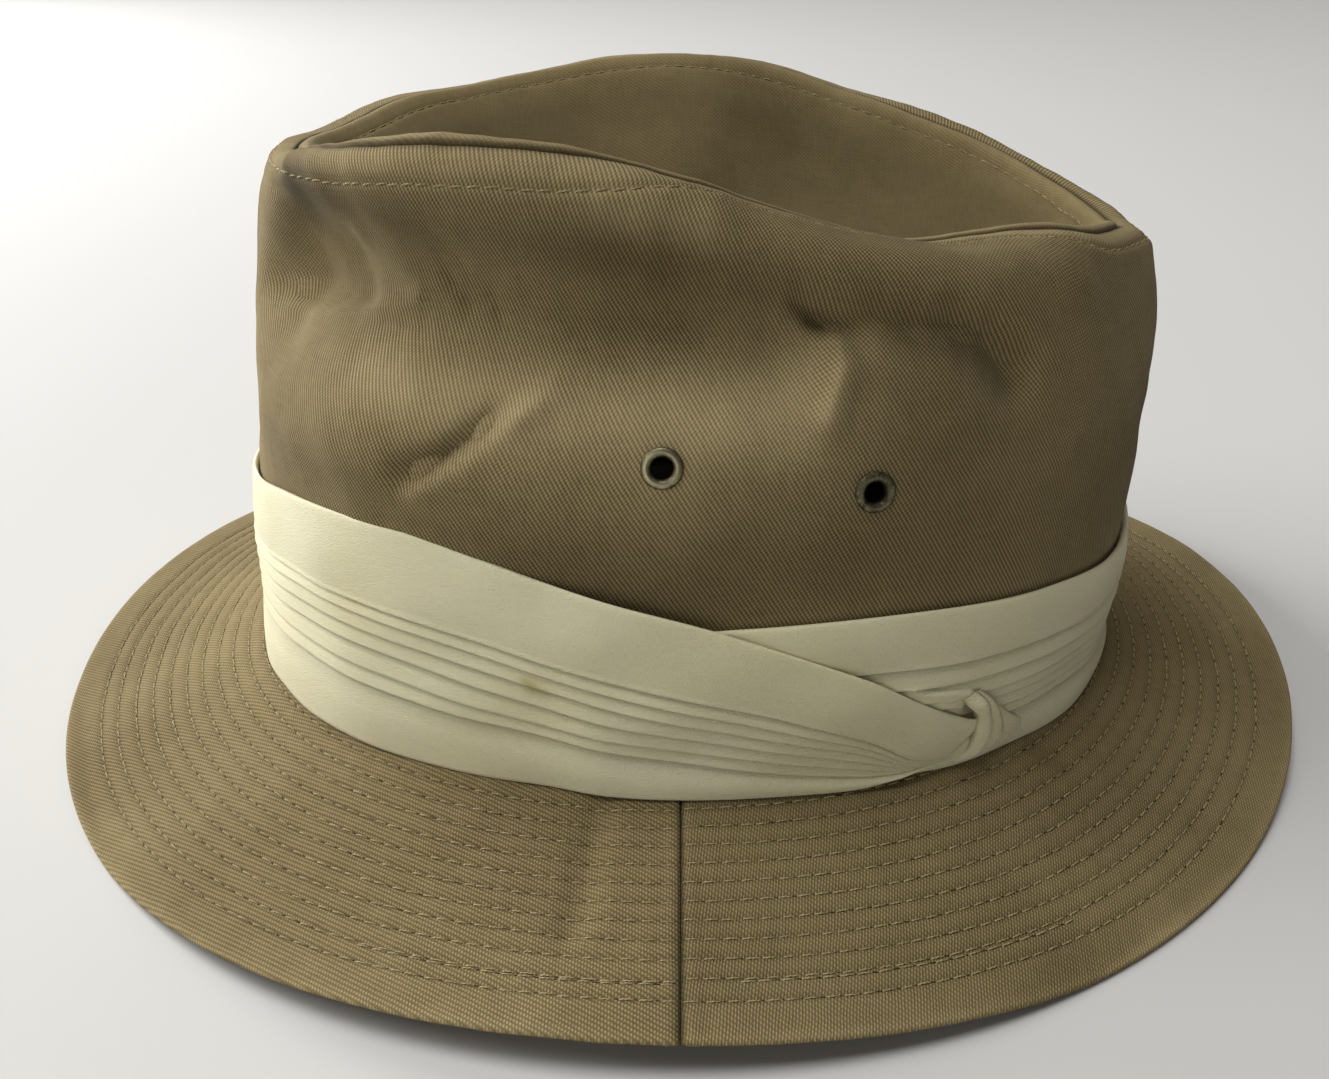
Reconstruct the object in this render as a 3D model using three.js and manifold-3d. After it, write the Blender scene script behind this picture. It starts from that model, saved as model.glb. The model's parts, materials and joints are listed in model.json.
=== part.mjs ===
// A cotton twill safari fedora with a pleated band, lying on its brim.
// Millimetres, +Z up. The front of the hat faces -Y and its left side faces +X.
// The origin is on the ground below the middle of the hat's box.
//
// "around" is an angle about the middle of the head in degrees: 0 at the back, 90 at the
// hat's left side, 180 at the front and 270 at its right side. An "arc" is a length along the
// crown's skin, from the foot of its wall, over the rim and down into the centre dent.

import * as THREE from 'three';
import { mergeVertices } from 'three/addons/utils/BufferGeometryUtils.js';
import Module from 'manifold-3d';

// ---------- driving dimensions ----------

const GAP = 0.3;                 // clearance between neighbouring pieces

const HEAD_X = -2.3;             // middle of the head, from the middle of the hat's box
const HEAD_Y = 0.9;
const HEAD_LENGTH = 212.4;       // outside of the band, front to back
const HEAD_WIDTH = 174.4;        // outside of the band, side to side
const HEAD_SQUARING = -1.4;      // how far the oval draws in on its axes and out between them
const BAND_BUILD = 2.7;          // band and its clearance, between the crown and the head oval

const BRIM_CLOTH = 1.6;          // thickness of the two quilted brim layers
const BRIM_FOOT = 19.8;          // height of the brim's top where it meets the crown
const BRIM_WIDTH = 53.8;         // from the band to the brim's edge, along the cloth
const BRIM_DROOP = 16.7;         // mean slope of the brim, degrees
const BRIM_CURL = -16.8;         // how much steeper the edge is than the foot, degrees
const CURL_WAVE = -6.8;          // extra curl at the front and back, degrees
const REST_PRESS = 0.9;          // cloth lower than this sags flat onto the ground
const SIDE_SEAM = 90.7;          // around, where the brim's two halves meet on the left side

// The brim's waves, a row for each number of them round the hat. Widths and rises are in mm,
// droops in degrees.
const BRIM_WAVES = [
  { count: 1, widthCos: -1.4, widthSin: -0.8, droopCos: -0.7, droopSin: -0.5, riseCos: -0.2, riseSin: 0 },
  { count: 2, widthCos: -1.0, widthSin: -0.9, droopCos: -1.3, droopSin: 0.5, riseCos: -1.1, riseSin: 0 },
  { count: 3, widthCos: -0.4, widthSin: -2.2, droopCos: -2.1, droopSin: 3.0, riseCos: 0, riseSin: 0 },
  { count: 4, widthCos: 0, widthSin: 0, droopCos: -1.1, droopSin: 0, riseCos: 0, riseSin: 0 },
];

const CROWN_CLOTH = 1.6;         // thickness of the crown's wall and tip
const BOW_RISE = 4;              // how quickly the wall swells out above its foot
const DENT_FLOOR = 112;          // height of the centre dent's floor at its middle
const DENT_TILT = -0.06;         // slope of that floor towards the back

// The crown in vertical sections. rim: height of the rim's crest. inset: how far the crest
// lies inside the foot. bow: how far the wall swells out just above the band. lean: how far
// it then leans in. square: how boxy the shoulder is. dent: how boxy the centre dent is.
// seam: how far along the skin the tip's seam lies past the crest (minus is below it).
const CROWN_SECTIONS = [
  { around: 0, rim: 116, inset: 7.5, bow: 5.5, lean: 0, square: 6.0, dent: 4.0, seam: 6 },
  { around: 20, rim: 121, inset: 11.5, bow: 4.5, lean: 1, square: 5.0, dent: 3.6, seam: 5 },
  { around: 40, rim: 125, inset: 17.5, bow: 4.5, lean: 4, square: 4.0, dent: 3.0, seam: 4 },
  { around: 60, rim: 126, inset: 20.5, bow: 7.5, lean: 8, square: 3.4, dent: 2.4, seam: 7 },
  { around: 90, rim: 137, inset: 25.5, bow: 6.5, lean: 10, square: 3.2, dent: 2.2, seam: 3 },
  { around: 120, rim: 144, inset: 22.5, bow: 6.5, lean: 10, square: 3.4, dent: 2.4, seam: -3 },
  { around: 150, rim: 138.5, inset: 21.5, bow: 3.5, lean: 11, square: 4.5, dent: 3.0, seam: -3 },
  { around: 180, rim: 134, inset: 17.5, bow: 4.5, lean: 11, square: 5.0, dent: 4.0, seam: -2 },
  { around: 210, rim: 136.5, inset: 21.5, bow: 3.5, lean: 11, square: 4.5, dent: 3.0, seam: 0 },
  { around: 240, rim: 139.5, inset: 22.5, bow: 6.5, lean: 10, square: 3.4, dent: 2.4, seam: 0 },
  { around: 270, rim: 145, inset: 25.5, bow: 6.5, lean: 10, square: 3.2, dent: 2.2, seam: 0 },
  { around: 300, rim: 136, inset: 21.5, bow: 7.5, lean: 8, square: 3.4, dent: 2.6, seam: 1 },
  { around: 330, rim: 124, inset: 14.5, bow: 4.5, lean: 3, square: 4.5, dent: 3.6, seam: 4 },
];

// The crown's main dents and folds, each a stroke across the wall from one place to another.
// reach: half its width. depth: how far it sinks, or stands out if it is below 0.
const CROWN_FOLDS = [
  { name: 'hollow below the rim', around: 140, height: 129, toAround: 88, toHeight: 124, reach: 8, depth: 2.4 },
  { name: 'front pinch', around: 158, height: 117, toAround: 128, toHeight: 119, reach: 6, depth: 3.4 },
  { name: 'front roll', around: 138, height: 127, toAround: 116, toHeight: 121, reach: 5, depth: -1.6 },
  { name: 'back pocket', around: 77, height: 121, toAround: 72, toHeight: 113, reach: 6, depth: 4.2 },
  { name: 'back valley', around: 68, height: 117, toAround: 52, toHeight: 111, reach: 7, depth: 3.0 },
  { name: 'pocket lip', around: 74, height: 106, toAround: 74, toHeight: 100, reach: 7, depth: -1.6 },
  { name: 'side crease', around: 122, height: 84, toAround: 111, toHeight: 99, reach: 5, depth: 2.2 },
  { name: 'crease lip', around: 116, height: 83, toAround: 107, toHeight: 97, reach: 6, depth: -1.4 },
  { name: 'right hollow', around: 235, height: 128, toAround: 275, toHeight: 126, reach: 8, depth: 2.2 },
  { name: 'right pinch', around: 205, height: 116, toAround: 232, toHeight: 119, reach: 7, depth: 2.6 },
];

const EYELET_PLACES = [
  { name: 'eyelet_left_front', around: 92.9, height: 91.6 },
  { name: 'eyelet_left_back', around: 70.6, height: 85.8 },
  { name: 'eyelet_right_front', around: 267.1, height: 91.6 },
  { name: 'eyelet_right_back', around: 289.4, height: 85.8 },
];
const EYELET_BORE = 4.2;         // diameters of the eyelet's hole, neck, washer and flange
const EYELET_NECK = 5.2;
const EYELET_WASHER = 7.4;
const EYELET_FLANGE = 8.0;
const EYELET_DOME = 0.65;        // how far the flange stands above its seat
const EYELET_SEAT = 0.35;        // clearance between the cloth and the flange or the washer

// The band's course. It starts under its own end on the left side, runs round the back, the
// right side and the front, and crosses over its start to the knot. turn: the place around,
// counted on past 0. bottom and top: heights above the brim. lift: clear of the first layer.
const BAND_COURSE = [
  { turn: 96, bottom: 0, top: 36, lift: 0 },
  { turn: 84, bottom: 0, top: 37.9, lift: 0 },
  { turn: 65, bottom: 0, top: 39.2, lift: 0 },
  { turn: 47, bottom: 0, top: 37.1, lift: 0 },
  { turn: 28, bottom: 0, top: 33.4, lift: 0 },
  { turn: 0, bottom: 0, top: 32.5, lift: 0 },
  { turn: -45, bottom: 0, top: 35, lift: 0 },
  { turn: -90, bottom: 0, top: 38, lift: 0 },
  { turn: -145, bottom: 0, top: 40, lift: 0 },
  { turn: -180, bottom: 0, top: 43, lift: 0 },
  { turn: -200, bottom: 0, top: 46.7, lift: 0 },
  { turn: -219, bottom: 0, top: 52.5, lift: 0 },
  { turn: -238, bottom: 0, top: 53.6, lift: 0 },
  { turn: -248, bottom: 0, top: 50.4, lift: 0 },
  { turn: -254, bottom: 0, top: 47.5, lift: 0.4 },
  { turn: -261, bottom: 0, top: 44.4, lift: 2.3 },
  { turn: -274, bottom: 0, top: 37.7, lift: 2.3 },
  { turn: -289, bottom: 0, top: 26.3, lift: 2.3 },
  { turn: -296, bottom: 0.6, top: 18.5, lift: 2.3 },
  { turn: -302, bottom: 1.2, top: 12.5, lift: 2.3 },
];
const BAND_CLOTH = 2.0;          // thickness of the pleated band
const BAND_CLEAR = 0.45;         // between the band and the crown

// The knot that holds the band's end, in upright sections from its loop to its fanned tip.
// bottom and top: heights above the brim. full: how far it stands out.
const KNOT_SECTIONS = [
  { around: 57.0, bottom: 2.0, top: 13.5, full: 2.2 },
  { around: 55.6, bottom: 0.6, top: 16.6, full: 4.0 },
  { around: 53.4, bottom: 0.5, top: 16.4, full: 4.4 },
  { around: 51.0, bottom: 0.6, top: 13.0, full: 3.6 },
  { around: 48.0, bottom: 0.8, top: 8.6, full: 2.6 },
  { around: 45.4, bottom: 1.2, top: 4.2, full: 1.4 },
];

const CROWN_COLUMNS = 72;
const WALL_ROWS = 12;
const TIP_ROWS = 5;
const BRIM_COLUMNS = 36;         // in each half
const BRIM_ROWS = 5;             // from the hem to the crown
const BRIM_HEM = 3;              // width of the row along the brim's edge
const BAND_COLUMNS = 74;
const BAND_ROWS = 3;
const KNOT_ROWS = 5;
const EYELET_SIDES = 12;

const TWILL = { color: 0x837751, roughness: 0.92, metalness: 0 };
const CREAM_CREPE = { color: 0xd8d2b0, roughness: 0.8, metalness: 0 };
const AGED_BRASS = { color: 0x6f6a50, roughness: 0.4, metalness: 0.9 };

// ---------- tables and curves ----------

const radians = THREE.MathUtils.degToRad;
const { lerp, clamp } = THREE.MathUtils;

// A smooth curve through one column of a table, at a place counted in its "key" column.
function tableValue(rows, key, at, column) {
  const sign = Math.sign(rows[rows.length - 1][key] - rows[0][key]);
  let i = rows.findIndex((row) => (row[key] - at) * sign > 0) - 1;
  if (i === -2) i = rows.length - 2;
  i = clamp(i, 0, rows.length - 2);
  const [b, c] = [rows[i], rows[i + 1]];
  const a = rows[i - 1] ?? b;
  const d = rows[i + 2] ?? c;
  const span = c[key] - b[key];
  const t = clamp((at - b[key]) / span, 0, 1);
  const slopeB = (c[column] - a[column]) / (c[key] - a[key]) * span;
  const slopeC = (d[column] - b[column]) / (d[key] - b[key]) * span;
  const t2 = t * t;
  const t3 = t2 * t;
  return (2 * t3 - 3 * t2 + 1) * b[column] + (t3 - 2 * t2 + t) * slopeB
    + (3 * t2 - 2 * t3) * c[column] + (t3 - t2) * slopeC;
}

// The crown's table with two rows of overlap at each end, so that it closes smoothly.
const turned = (row, by) => ({ ...row, around: row.around + by });
const CLOSED_SECTIONS = [
  ...CROWN_SECTIONS.slice(-2).map((row) => turned(row, -360)),
  ...CROWN_SECTIONS,
  ...CROWN_SECTIONS.slice(0, 2).map((row) => turned(row, 360)),
];
const withinTurn = (around) => ((around % 360) + 360) % 360;
const crownValue = (around, column) => tableValue(CLOSED_SECTIONS, 'around', withinTurn(around), column);

function brimValue(around, base, key) {
  let sum = base;
  for (const wave of BRIM_WAVES) {
    const angle = radians(around) * wave.count;
    sum += wave[`${key}Cos`] * Math.cos(angle) + wave[`${key}Sin`] * Math.sin(angle);
  }
  return sum;
}

// A point of the head oval in plan, moved outwards along the oval's normal.
function oval(around, out) {
  const angle = radians(around);
  const long = HEAD_LENGTH / 2;
  const wide = HEAD_WIDTH / 2;
  const normal = new THREE.Vector2(long * Math.sin(angle), wide * Math.cos(angle)).normalize();
  const reach = out + HEAD_SQUARING * Math.cos(4 * angle);
  return new THREE.Vector2(wide * Math.sin(angle), long * Math.cos(angle)).addScaledVector(normal, reach);
}

// ---------- brim ----------

// The height of the brim's upper face where the crown stands on it.
const brimFoot = (around) => brimValue(around, BRIM_FOOT, 'rise');
const brimWidth = (around) => brimValue(around, BRIM_WIDTH, 'width');

// The brim's upper face. across: 0 at the band, brimWidth at the edge, below 0 under the crown.
function brimTop(around, across) {
  const droop = radians(brimValue(around, BRIM_DROOP, 'droop'));
  const curl = radians(BRIM_CURL + CURL_WAVE * Math.cos(2 * radians(around)));
  const steps = 12;
  let out = Math.min(across, 0);
  let height = brimFoot(around);
  for (let k = 0; k < steps && across > 0; k += 1) {
    const slope = droop + curl * ((k + 0.5) / steps * across / brimWidth(around) - 0.5);
    out += Math.cos(slope) * across / steps;
    height -= Math.sin(slope) * across / steps;
  }
  const flat = oval(around, out);
  return new THREE.Vector3(flat.x, flat.y, height);
}

// The height that the underside settles to: flat on the ground where it is low, and easing
// back to its own height above that.
function settled(height) {
  if (height >= 3 * REST_PRESS) return height;
  return Math.max(height - REST_PRESS, 0) * 1.5;
}

// The brim's cloth at a depth below its upper face.
function brimSkin(around, across, below) {
  const along = brimTop(around + 0.5, across).sub(brimTop(around - 0.5, across));
  const outwards = brimTop(around, across + 0.5).sub(brimTop(around, across - 0.5));
  const down = outwards.cross(along).normalize();
  const top = brimTop(around, across);
  const underside = top.z + down.z * BRIM_CLOTH;
  top.z += settled(underside) - underside;
  return top.addScaledVector(down, below);
}

// ---------- crown ----------

const crownCache = new Map();

// One vertical section of the crown's undented skin: a fine polyline and its arc lengths.
function crownSection(around) {
  const key = withinTurn(around).toFixed(5);
  if (crownCache.has(key)) return crownCache.get(key);
  const value = (column) => crownValue(around, column);
  const foot = brimFoot(around) + GAP;
  const rise = value('rim') - foot;
  const shoulder = value('inset') + value('bow') - value('lean');
  const power = 2 / value('square');
  const steps = 60;
  const points = [];
  for (let k = 0; k <= steps; k += 1) {
    const lift = k / steps * Math.PI / 2;
    const up = Math.sin(lift) ** power;
    const swell = value('bow') * (1 - (1 - up) ** BOW_RISE) - value('lean') * up;
    const inward = shoulder * (1 - Math.max(Math.cos(lift), 0) ** power);
    const flat = oval(around, swell - inward - BAND_BUILD);
    points.push(new THREE.Vector3(flat.x, flat.y, foot + rise * up));
  }
  const crest = points[steps];
  for (let k = 1; k <= steps; k += 1) {
    const reach = 1 - k / steps;
    const sink = (1 - reach ** value('dent')) ** 2;
    const floor = DENT_FLOOR + DENT_TILT * crest.y * reach;
    points.push(new THREE.Vector3(crest.x * reach, crest.y * reach, lerp(crest.z, floor, sink)));
  }
  const arcs = [0];
  for (let k = 1; k < points.length; k += 1) arcs.push(arcs[k - 1] + points[k].distanceTo(points[k - 1]));
  const section = { points, arcs, seam: arcs[steps] + value('seam'), end: arcs[2 * steps] };
  crownCache.set(key, section);
  return section;
}

function plainSkin(around, arc) {
  const { points, arcs } = crownSection(around);
  const above = arcs.findIndex((length) => length >= arc);
  const k = above < 0 ? arcs.length - 1 : Math.max(above, 1);
  const t = clamp((arc - arcs[k - 1]) / (arcs[k] - arcs[k - 1]), 0, 1);
  return points[k - 1].clone().lerp(points[k], t);
}

function skinNormal(around, arc) {
  const along = plainSkin(around + 0.5, arc).sub(plainSkin(around - 0.5, arc));
  const up = plainSkin(around, arc + 0.5).sub(plainSkin(around, Math.max(arc - 0.5, 0)));
  const normal = along.cross(up).negate().normalize();
  return normal.lengthSq() > 0 ? normal : new THREE.Vector3(0, 0, 1);
}

// The arc at which a section's wall reaches a height.
function arcAtHeight(around, height) {
  const { points, arcs } = crownSection(around);
  const k = Math.max(points.findIndex((point) => point.z >= height), 1);
  return lerp(arcs[k - 1], arcs[k], (height - points[k - 1].z) / (points[k].z - points[k - 1].z));
}

const wallPoint = (around, height) => plainSkin(around, arcAtHeight(around, height));

const foldLines = CROWN_FOLDS.map((fold) => {
  const marks = [0, 0.25, 0.5, 0.75, 1].map((t) => wallPoint(
    lerp(fold.around, fold.toAround, t),
    lerp(fold.height, fold.toHeight, t),
  ));
  const lines = marks.slice(1).map((mark, k) => new THREE.Line3(marks[k], mark));
  return { ...fold, lines };
});

// How far the folds sink the skin at a point.
function foldDepth(point) {
  const nearest = new THREE.Vector3();
  let depth = 0;
  for (const fold of foldLines) {
    const away = Math.min(...fold.lines.map((line) => {
      line.closestPointToPoint(point, true, nearest);
      return nearest.distanceTo(point);
    }));
    depth += fold.depth * Math.exp(-((away / fold.reach) ** 2));
  }
  return depth;
}

// The crown's skin with its dents and folds, at a depth below its outer face.
function crownSkin(around, arc, below = 0) {
  const point = plainSkin(around, arc);
  return point.addScaledVector(skinNormal(around, arc), -foldDepth(point) - below);
}

// ---------- shells ----------

// The closed body between two grids of the same size. Seen from outside the body, the face's
// columns run to the left as its rows run up.
function bodyBetween(face, back, ring) {
  const columns = face[0].length;
  const top = face.length - 1;
  const end = columns - 1;
  const positions = [];
  const triangle = (...corners) => {
    for (const corner of corners) positions.push(corner.x, corner.y, corner.z);
  };
  const quad = (a, b, c, d) => {
    triangle(a, b, c);
    triangle(a, c, d);
  };
  for (let c = 0; c < (ring ? columns : end); c += 1) {
    const d = (c + 1) % columns;
    for (let r = 0; r < top; r += 1) {
      quad(face[r][d], face[r][c], face[r + 1][c], face[r + 1][d]);
      quad(back[r][c], back[r][d], back[r + 1][d], back[r + 1][c]);
    }
    quad(back[0][d], back[0][c], face[0][c], face[0][d]);
    quad(face[top][d], face[top][c], back[top][c], back[top][d]);
  }
  for (let r = 0; r < top && !ring; r += 1) {
    quad(face[r][0], back[r][0], back[r + 1][0], face[r + 1][0]);
    quad(back[r][end], face[r][end], face[r + 1][end], back[r + 1][end]);
  }
  const geometry = new THREE.BufferGeometry();
  geometry.setAttribute('position', new THREE.Float32BufferAttribute(positions, 3));
  return closed(geometry);
}

// A geometry with only shared positions, without the triangles that merging flattens.
function closed(geometry) {
  geometry.deleteAttribute('normal');
  geometry.deleteAttribute('uv');
  const merged = mergeVertices(geometry, 1e-4);
  const corners = merged.index.array;
  const kept = [];
  for (let k = 0; k < corners.length; k += 3) {
    const [a, b, c] = corners.slice(k, k + 3);
    if (a !== b && b !== c && c !== a) kept.push(a, b, c);
  }
  merged.setIndex(kept);
  return merged;
}

function gridOf(rows, columns, pointAt) {
  return Array.from({ length: rows }, (_, r) => Array.from({ length: columns }, (__, c) => pointAt(r, c)));
}

// ---------- booleans ----------

const wasm = await Module();
wasm.setup();

function solidOf(geometry) {
  const vertProperties = new Float32Array(geometry.attributes.position.array);
  const triVerts = new Uint32Array(geometry.index.array);
  return new wasm.Manifold(new wasm.Mesh({ numProp: 3, vertProperties, triVerts }));
}

function geometryOf(solid) {
  const { vertProperties, triVerts } = solid.getMesh();
  const geometry = new THREE.BufferGeometry();
  geometry.setAttribute('position', new THREE.BufferAttribute(vertProperties, 3));
  geometry.setIndex(new THREE.BufferAttribute(triVerts, 1));
  return geometry;
}

// ---------- pieces ----------

const hat = new THREE.Group();

function addPiece(name, geometry, finish) {
  const flat = geometry.index ? geometry.toNonIndexed() : geometry;
  flat.computeVertexNormals();
  const mesh = new THREE.Mesh(flat, new THREE.MeshStandardMaterial(finish));
  mesh.name = name;
  hat.add(mesh);
  return mesh;
}

// Stands a shape whose axis is +Y on the crown's wall, its +Y pointing out of the cloth.
function seatOnWall(object, place) {
  const arc = arcAtHeight(place.around, place.height);
  object.position.copy(crownSkin(place.around, arc));
  object.quaternion.setFromUnitVectors(new THREE.Vector3(0, 1, 0), skinNormal(place.around, arc));
  return object;
}

function makeCrownSide() {
  const side = (below) => gridOf(WALL_ROWS + 1, CROWN_COLUMNS, (r, c) => {
    const around = 360 * c / CROWN_COLUMNS;
    return crownSkin(around, (crownSection(around).seam - GAP / 2) * r / WALL_ROWS, below);
  });
  let wall = solidOf(bodyBetween(side(0), side(CROWN_CLOTH), true));
  const drillRadius = EYELET_NECK / 2 + GAP;
  for (const place of EYELET_PLACES) {
    const drill = new THREE.CylinderGeometry(drillRadius, drillRadius, 8 * CROWN_CLOTH, EYELET_SIDES);
    const seat = seatOnWall(new THREE.Object3D(), place);
    seat.updateMatrix();
    wall = wall.subtract(solidOf(closed(drill.applyMatrix4(seat.matrix))));
  }
  addPiece('crown_side', geometryOf(wall), TWILL);
}

function makeCrownTip() {
  const side = (below) => gridOf(TIP_ROWS + 1, CROWN_COLUMNS, (r, c) => {
    const around = 360 * c / CROWN_COLUMNS;
    const { seam, end } = crownSection(around);
    if (r === TIP_ROWS) return new THREE.Vector3(0, 0, DENT_FLOOR - below);
    return crownSkin(around, lerp(seam + GAP / 2, end, r / TIP_ROWS), below);
  });
  addPiece('crown_tip', bodyBetween(side(0), side(CROWN_CLOTH), true), TWILL);
}

// One half of the brim, from one side seam round to the other.
function makeBrimHalf(name, from, forward) {
  const inside = -BAND_BUILD - CROWN_CLOTH;
  const side = (below) => gridOf(BRIM_ROWS + 2, BRIM_COLUMNS + 1, (r, c) => {
    const around = from + 180 * c / BRIM_COLUMNS;
    const hem = brimWidth(around) - BRIM_HEM;
    const across = r === 0 ? brimWidth(around) : lerp(hem, inside, (r - 1) / BRIM_ROWS);
    const point = brimSkin(around, across, below);
    const atSeam = c === 0 || c === BRIM_COLUMNS;
    if (atSeam) point.y -= forward * GAP / 2;
    return point;
  });
  addPiece(name, bodyBetween(side(0), side(BRIM_CLOTH), false), TWILL);
}

function makeEyelet(place) {
  const floor = -CROWN_CLOTH - EYELET_SEAT;
  const profile = [
    [EYELET_BORE, floor - 0.5],
    [EYELET_WASHER, floor - 0.5],
    [EYELET_WASHER, floor],
    [EYELET_NECK, floor],
    [EYELET_NECK, EYELET_SEAT],
    [EYELET_FLANGE, EYELET_SEAT],
    [EYELET_FLANGE - 0.2, EYELET_SEAT + 0.6 * EYELET_DOME],
    [EYELET_FLANGE - 1.4, EYELET_SEAT + EYELET_DOME],
    [EYELET_BORE + 0.5, EYELET_SEAT + 0.8 * EYELET_DOME],
    [EYELET_BORE, EYELET_SEAT + 0.2 * EYELET_DOME],
  ];
  const outline = [...profile, profile[0]].map(([width, up]) => new THREE.Vector2(width / 2, up));
  const geometry = closed(new THREE.LatheGeometry(outline, EYELET_SIDES));
  seatOnWall(addPiece(place.name, geometry, AGED_BRASS), place);
}

// A point of the band's cloth: "out" from the crown's skin at a height above the brim.
function bandPoint(around, height, out) {
  const arc = arcAtHeight(around, brimFoot(around) + GAP + height);
  return plainSkin(around, arc).addScaledVector(skinNormal(around, arc), out);
}

function makeBand() {
  const first = BAND_COURSE[0].turn;
  const last = BAND_COURSE[BAND_COURSE.length - 1].turn;
  const side = (out) => gridOf(BAND_ROWS + 1, BAND_COLUMNS + 1, (r, c) => {
    const turn = lerp(first, last, c / BAND_COLUMNS);
    const value = (column) => tableValue(BAND_COURSE, 'turn', turn, column);
    const height = lerp(value('bottom'), value('top'), r / BAND_ROWS);
    return bandPoint(turn, height, BAND_CLEAR + value('lift') + out);
  });
  addPiece('band', bodyBetween(side(0), side(BAND_CLOTH), false), CREAM_CREPE);
}

function makeKnot() {
  const seat = BAND_CLEAR + BAND_CLOTH + GAP;
  const side = (swell) => gridOf(KNOT_ROWS + 1, KNOT_SECTIONS.length, (r, c) => {
    const section = KNOT_SECTIONS[c];
    const t = r / KNOT_ROWS;
    const full = swell * section.full * Math.sin(Math.PI * lerp(0.12, 0.88, t));
    return bandPoint(section.around, lerp(section.bottom, section.top, t), seat + full);
  });
  addPiece('band_knot', bodyBetween(side(0), side(1), false), CREAM_CREPE);
}

makeCrownSide();
makeCrownTip();
makeBrimHalf('brim_back', SIDE_SEAM - 180, -1);
makeBrimHalf('brim_front', SIDE_SEAM, 1);
makeBand();
makeKnot();
EYELET_PLACES.forEach(makeEyelet);

hat.position.set(HEAD_X, HEAD_Y, 0);

export default hat;
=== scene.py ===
"""A cotton twill safari fedora with a pleated crepe band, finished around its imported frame.

The shape code works in millimetres about the middle of the head, with the front of the hat
facing -Y and its left side facing +X. "around" is an angle about that middle in degrees: 0 at
the back, 90 at the left side, 180 at the front and 270 at the right side. "arc" is a length
along the crown's skin, from the foot of its wall over the rim and down into the centre dent.
"""

import json
import math

import bmesh
import bpy
import numpy as np
from bpy.props import FloatProperty, FloatVectorProperty, PointerProperty
from mathutils import Matrix, Vector

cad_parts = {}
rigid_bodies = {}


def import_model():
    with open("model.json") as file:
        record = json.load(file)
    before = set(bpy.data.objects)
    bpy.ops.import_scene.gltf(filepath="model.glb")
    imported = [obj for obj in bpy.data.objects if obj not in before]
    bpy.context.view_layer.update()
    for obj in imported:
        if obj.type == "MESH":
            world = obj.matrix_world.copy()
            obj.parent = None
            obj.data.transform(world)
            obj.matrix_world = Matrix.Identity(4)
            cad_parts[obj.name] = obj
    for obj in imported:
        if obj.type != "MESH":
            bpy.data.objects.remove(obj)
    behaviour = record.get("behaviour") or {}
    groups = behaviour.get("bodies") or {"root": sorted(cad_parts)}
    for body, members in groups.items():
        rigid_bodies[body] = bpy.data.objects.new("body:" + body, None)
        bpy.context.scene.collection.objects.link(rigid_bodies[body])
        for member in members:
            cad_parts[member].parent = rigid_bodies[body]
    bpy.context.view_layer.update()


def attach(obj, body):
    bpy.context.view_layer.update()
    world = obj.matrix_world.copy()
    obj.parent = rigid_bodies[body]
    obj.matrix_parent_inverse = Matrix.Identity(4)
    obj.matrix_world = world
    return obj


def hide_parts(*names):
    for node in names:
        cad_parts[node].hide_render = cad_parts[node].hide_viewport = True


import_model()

bl_info = {
    "name": "Twill fedora",
    "version": (1, 0, 0),
    "blender": (4, 5, 0),
    "location": "View3D > Sidebar > Fedora",
    "description": "Builds a cotton twill fedora with a pleated band around its packed frame",
    "category": "Object",
}

METRES = 0.001

# ---------- the hat's shape, as in its frame ----------

GAP = 0.3                      # clearance between the crown's foot and the brim
HEAD_X, HEAD_Y = -2.3, 0.9     # middle of the head, from the middle of the hat's box
HEAD_LENGTH, HEAD_WIDTH = 212.4, 174.4
HEAD_SQUARING = -1.4
BAND_BUILD = 2.7               # band and its clearance, between the crown and the head oval

BRIM_CLOTH = 1.6
BRIM_FOOT = 19.8
BRIM_WIDTH = 53.8
BRIM_DROOP = 16.7
BRIM_CURL, CURL_WAVE = -16.8, -6.8
REST_PRESS = 0.9
SIDE_SEAM = 90.7               # around, where the brim's halves meet on the left side
# count, then the cosine and sine of the width, the droop and the rise. All but three of
# these numbers are the output of a least-squares fit, to one decimal.
BRIM_WAVES = (
    (1, -1.4, -0.8, -0.7, -0.5, -0.2, 0),
    (2, -1.0, -0.9, -1.3, 0.5, -1.1, 0),
    (3, -0.4, -2.2, -2.1, 3.0, 0, 0),
    (4, 0, 0, -1.1, 0, 0, 0),
)
WIDTH, DROOP, RISE = 0, 1, 2   # the pairs of columns in that table

CROWN_CLOTH = 1.4
BOW_RISE = 4
DENT_FLOOR, DENT_TILT = 112, -0.06
# around: rim, inset, bow, lean, square, dent, seam
CROWN_SECTIONS = (
    (0, 116, 7.5, 5.5, 0, 6.0, 4.0, 6),
    (20, 121, 11.5, 4.5, 1, 5.0, 3.6, 5),
    (40, 125, 17.5, 4.5, 4, 4.0, 3.0, 4),
    (60, 126, 20.5, 7.5, 8, 3.4, 2.4, 7),
    (90, 137, 25.5, 6.5, 10, 3.2, 2.2, 3),
    (120, 144, 22.5, 6.5, 10, 3.4, 2.4, -3),
    (150, 138.5, 21.5, 3.5, 11, 4.5, 3.0, -3),
    (180, 134, 17.5, 4.5, 11, 5.0, 4.0, -2),
    (210, 136.5, 21.5, 3.5, 11, 4.5, 3.0, 0),
    (240, 139.5, 22.5, 6.5, 10, 3.4, 2.4, 0),
    (270, 145, 25.5, 6.5, 10, 3.2, 2.2, 0),
    (300, 136, 21.5, 7.5, 8, 3.4, 2.6, 1),
    (330, 124, 14.5, 4.5, 3, 4.5, 3.6, 4),
)

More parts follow.
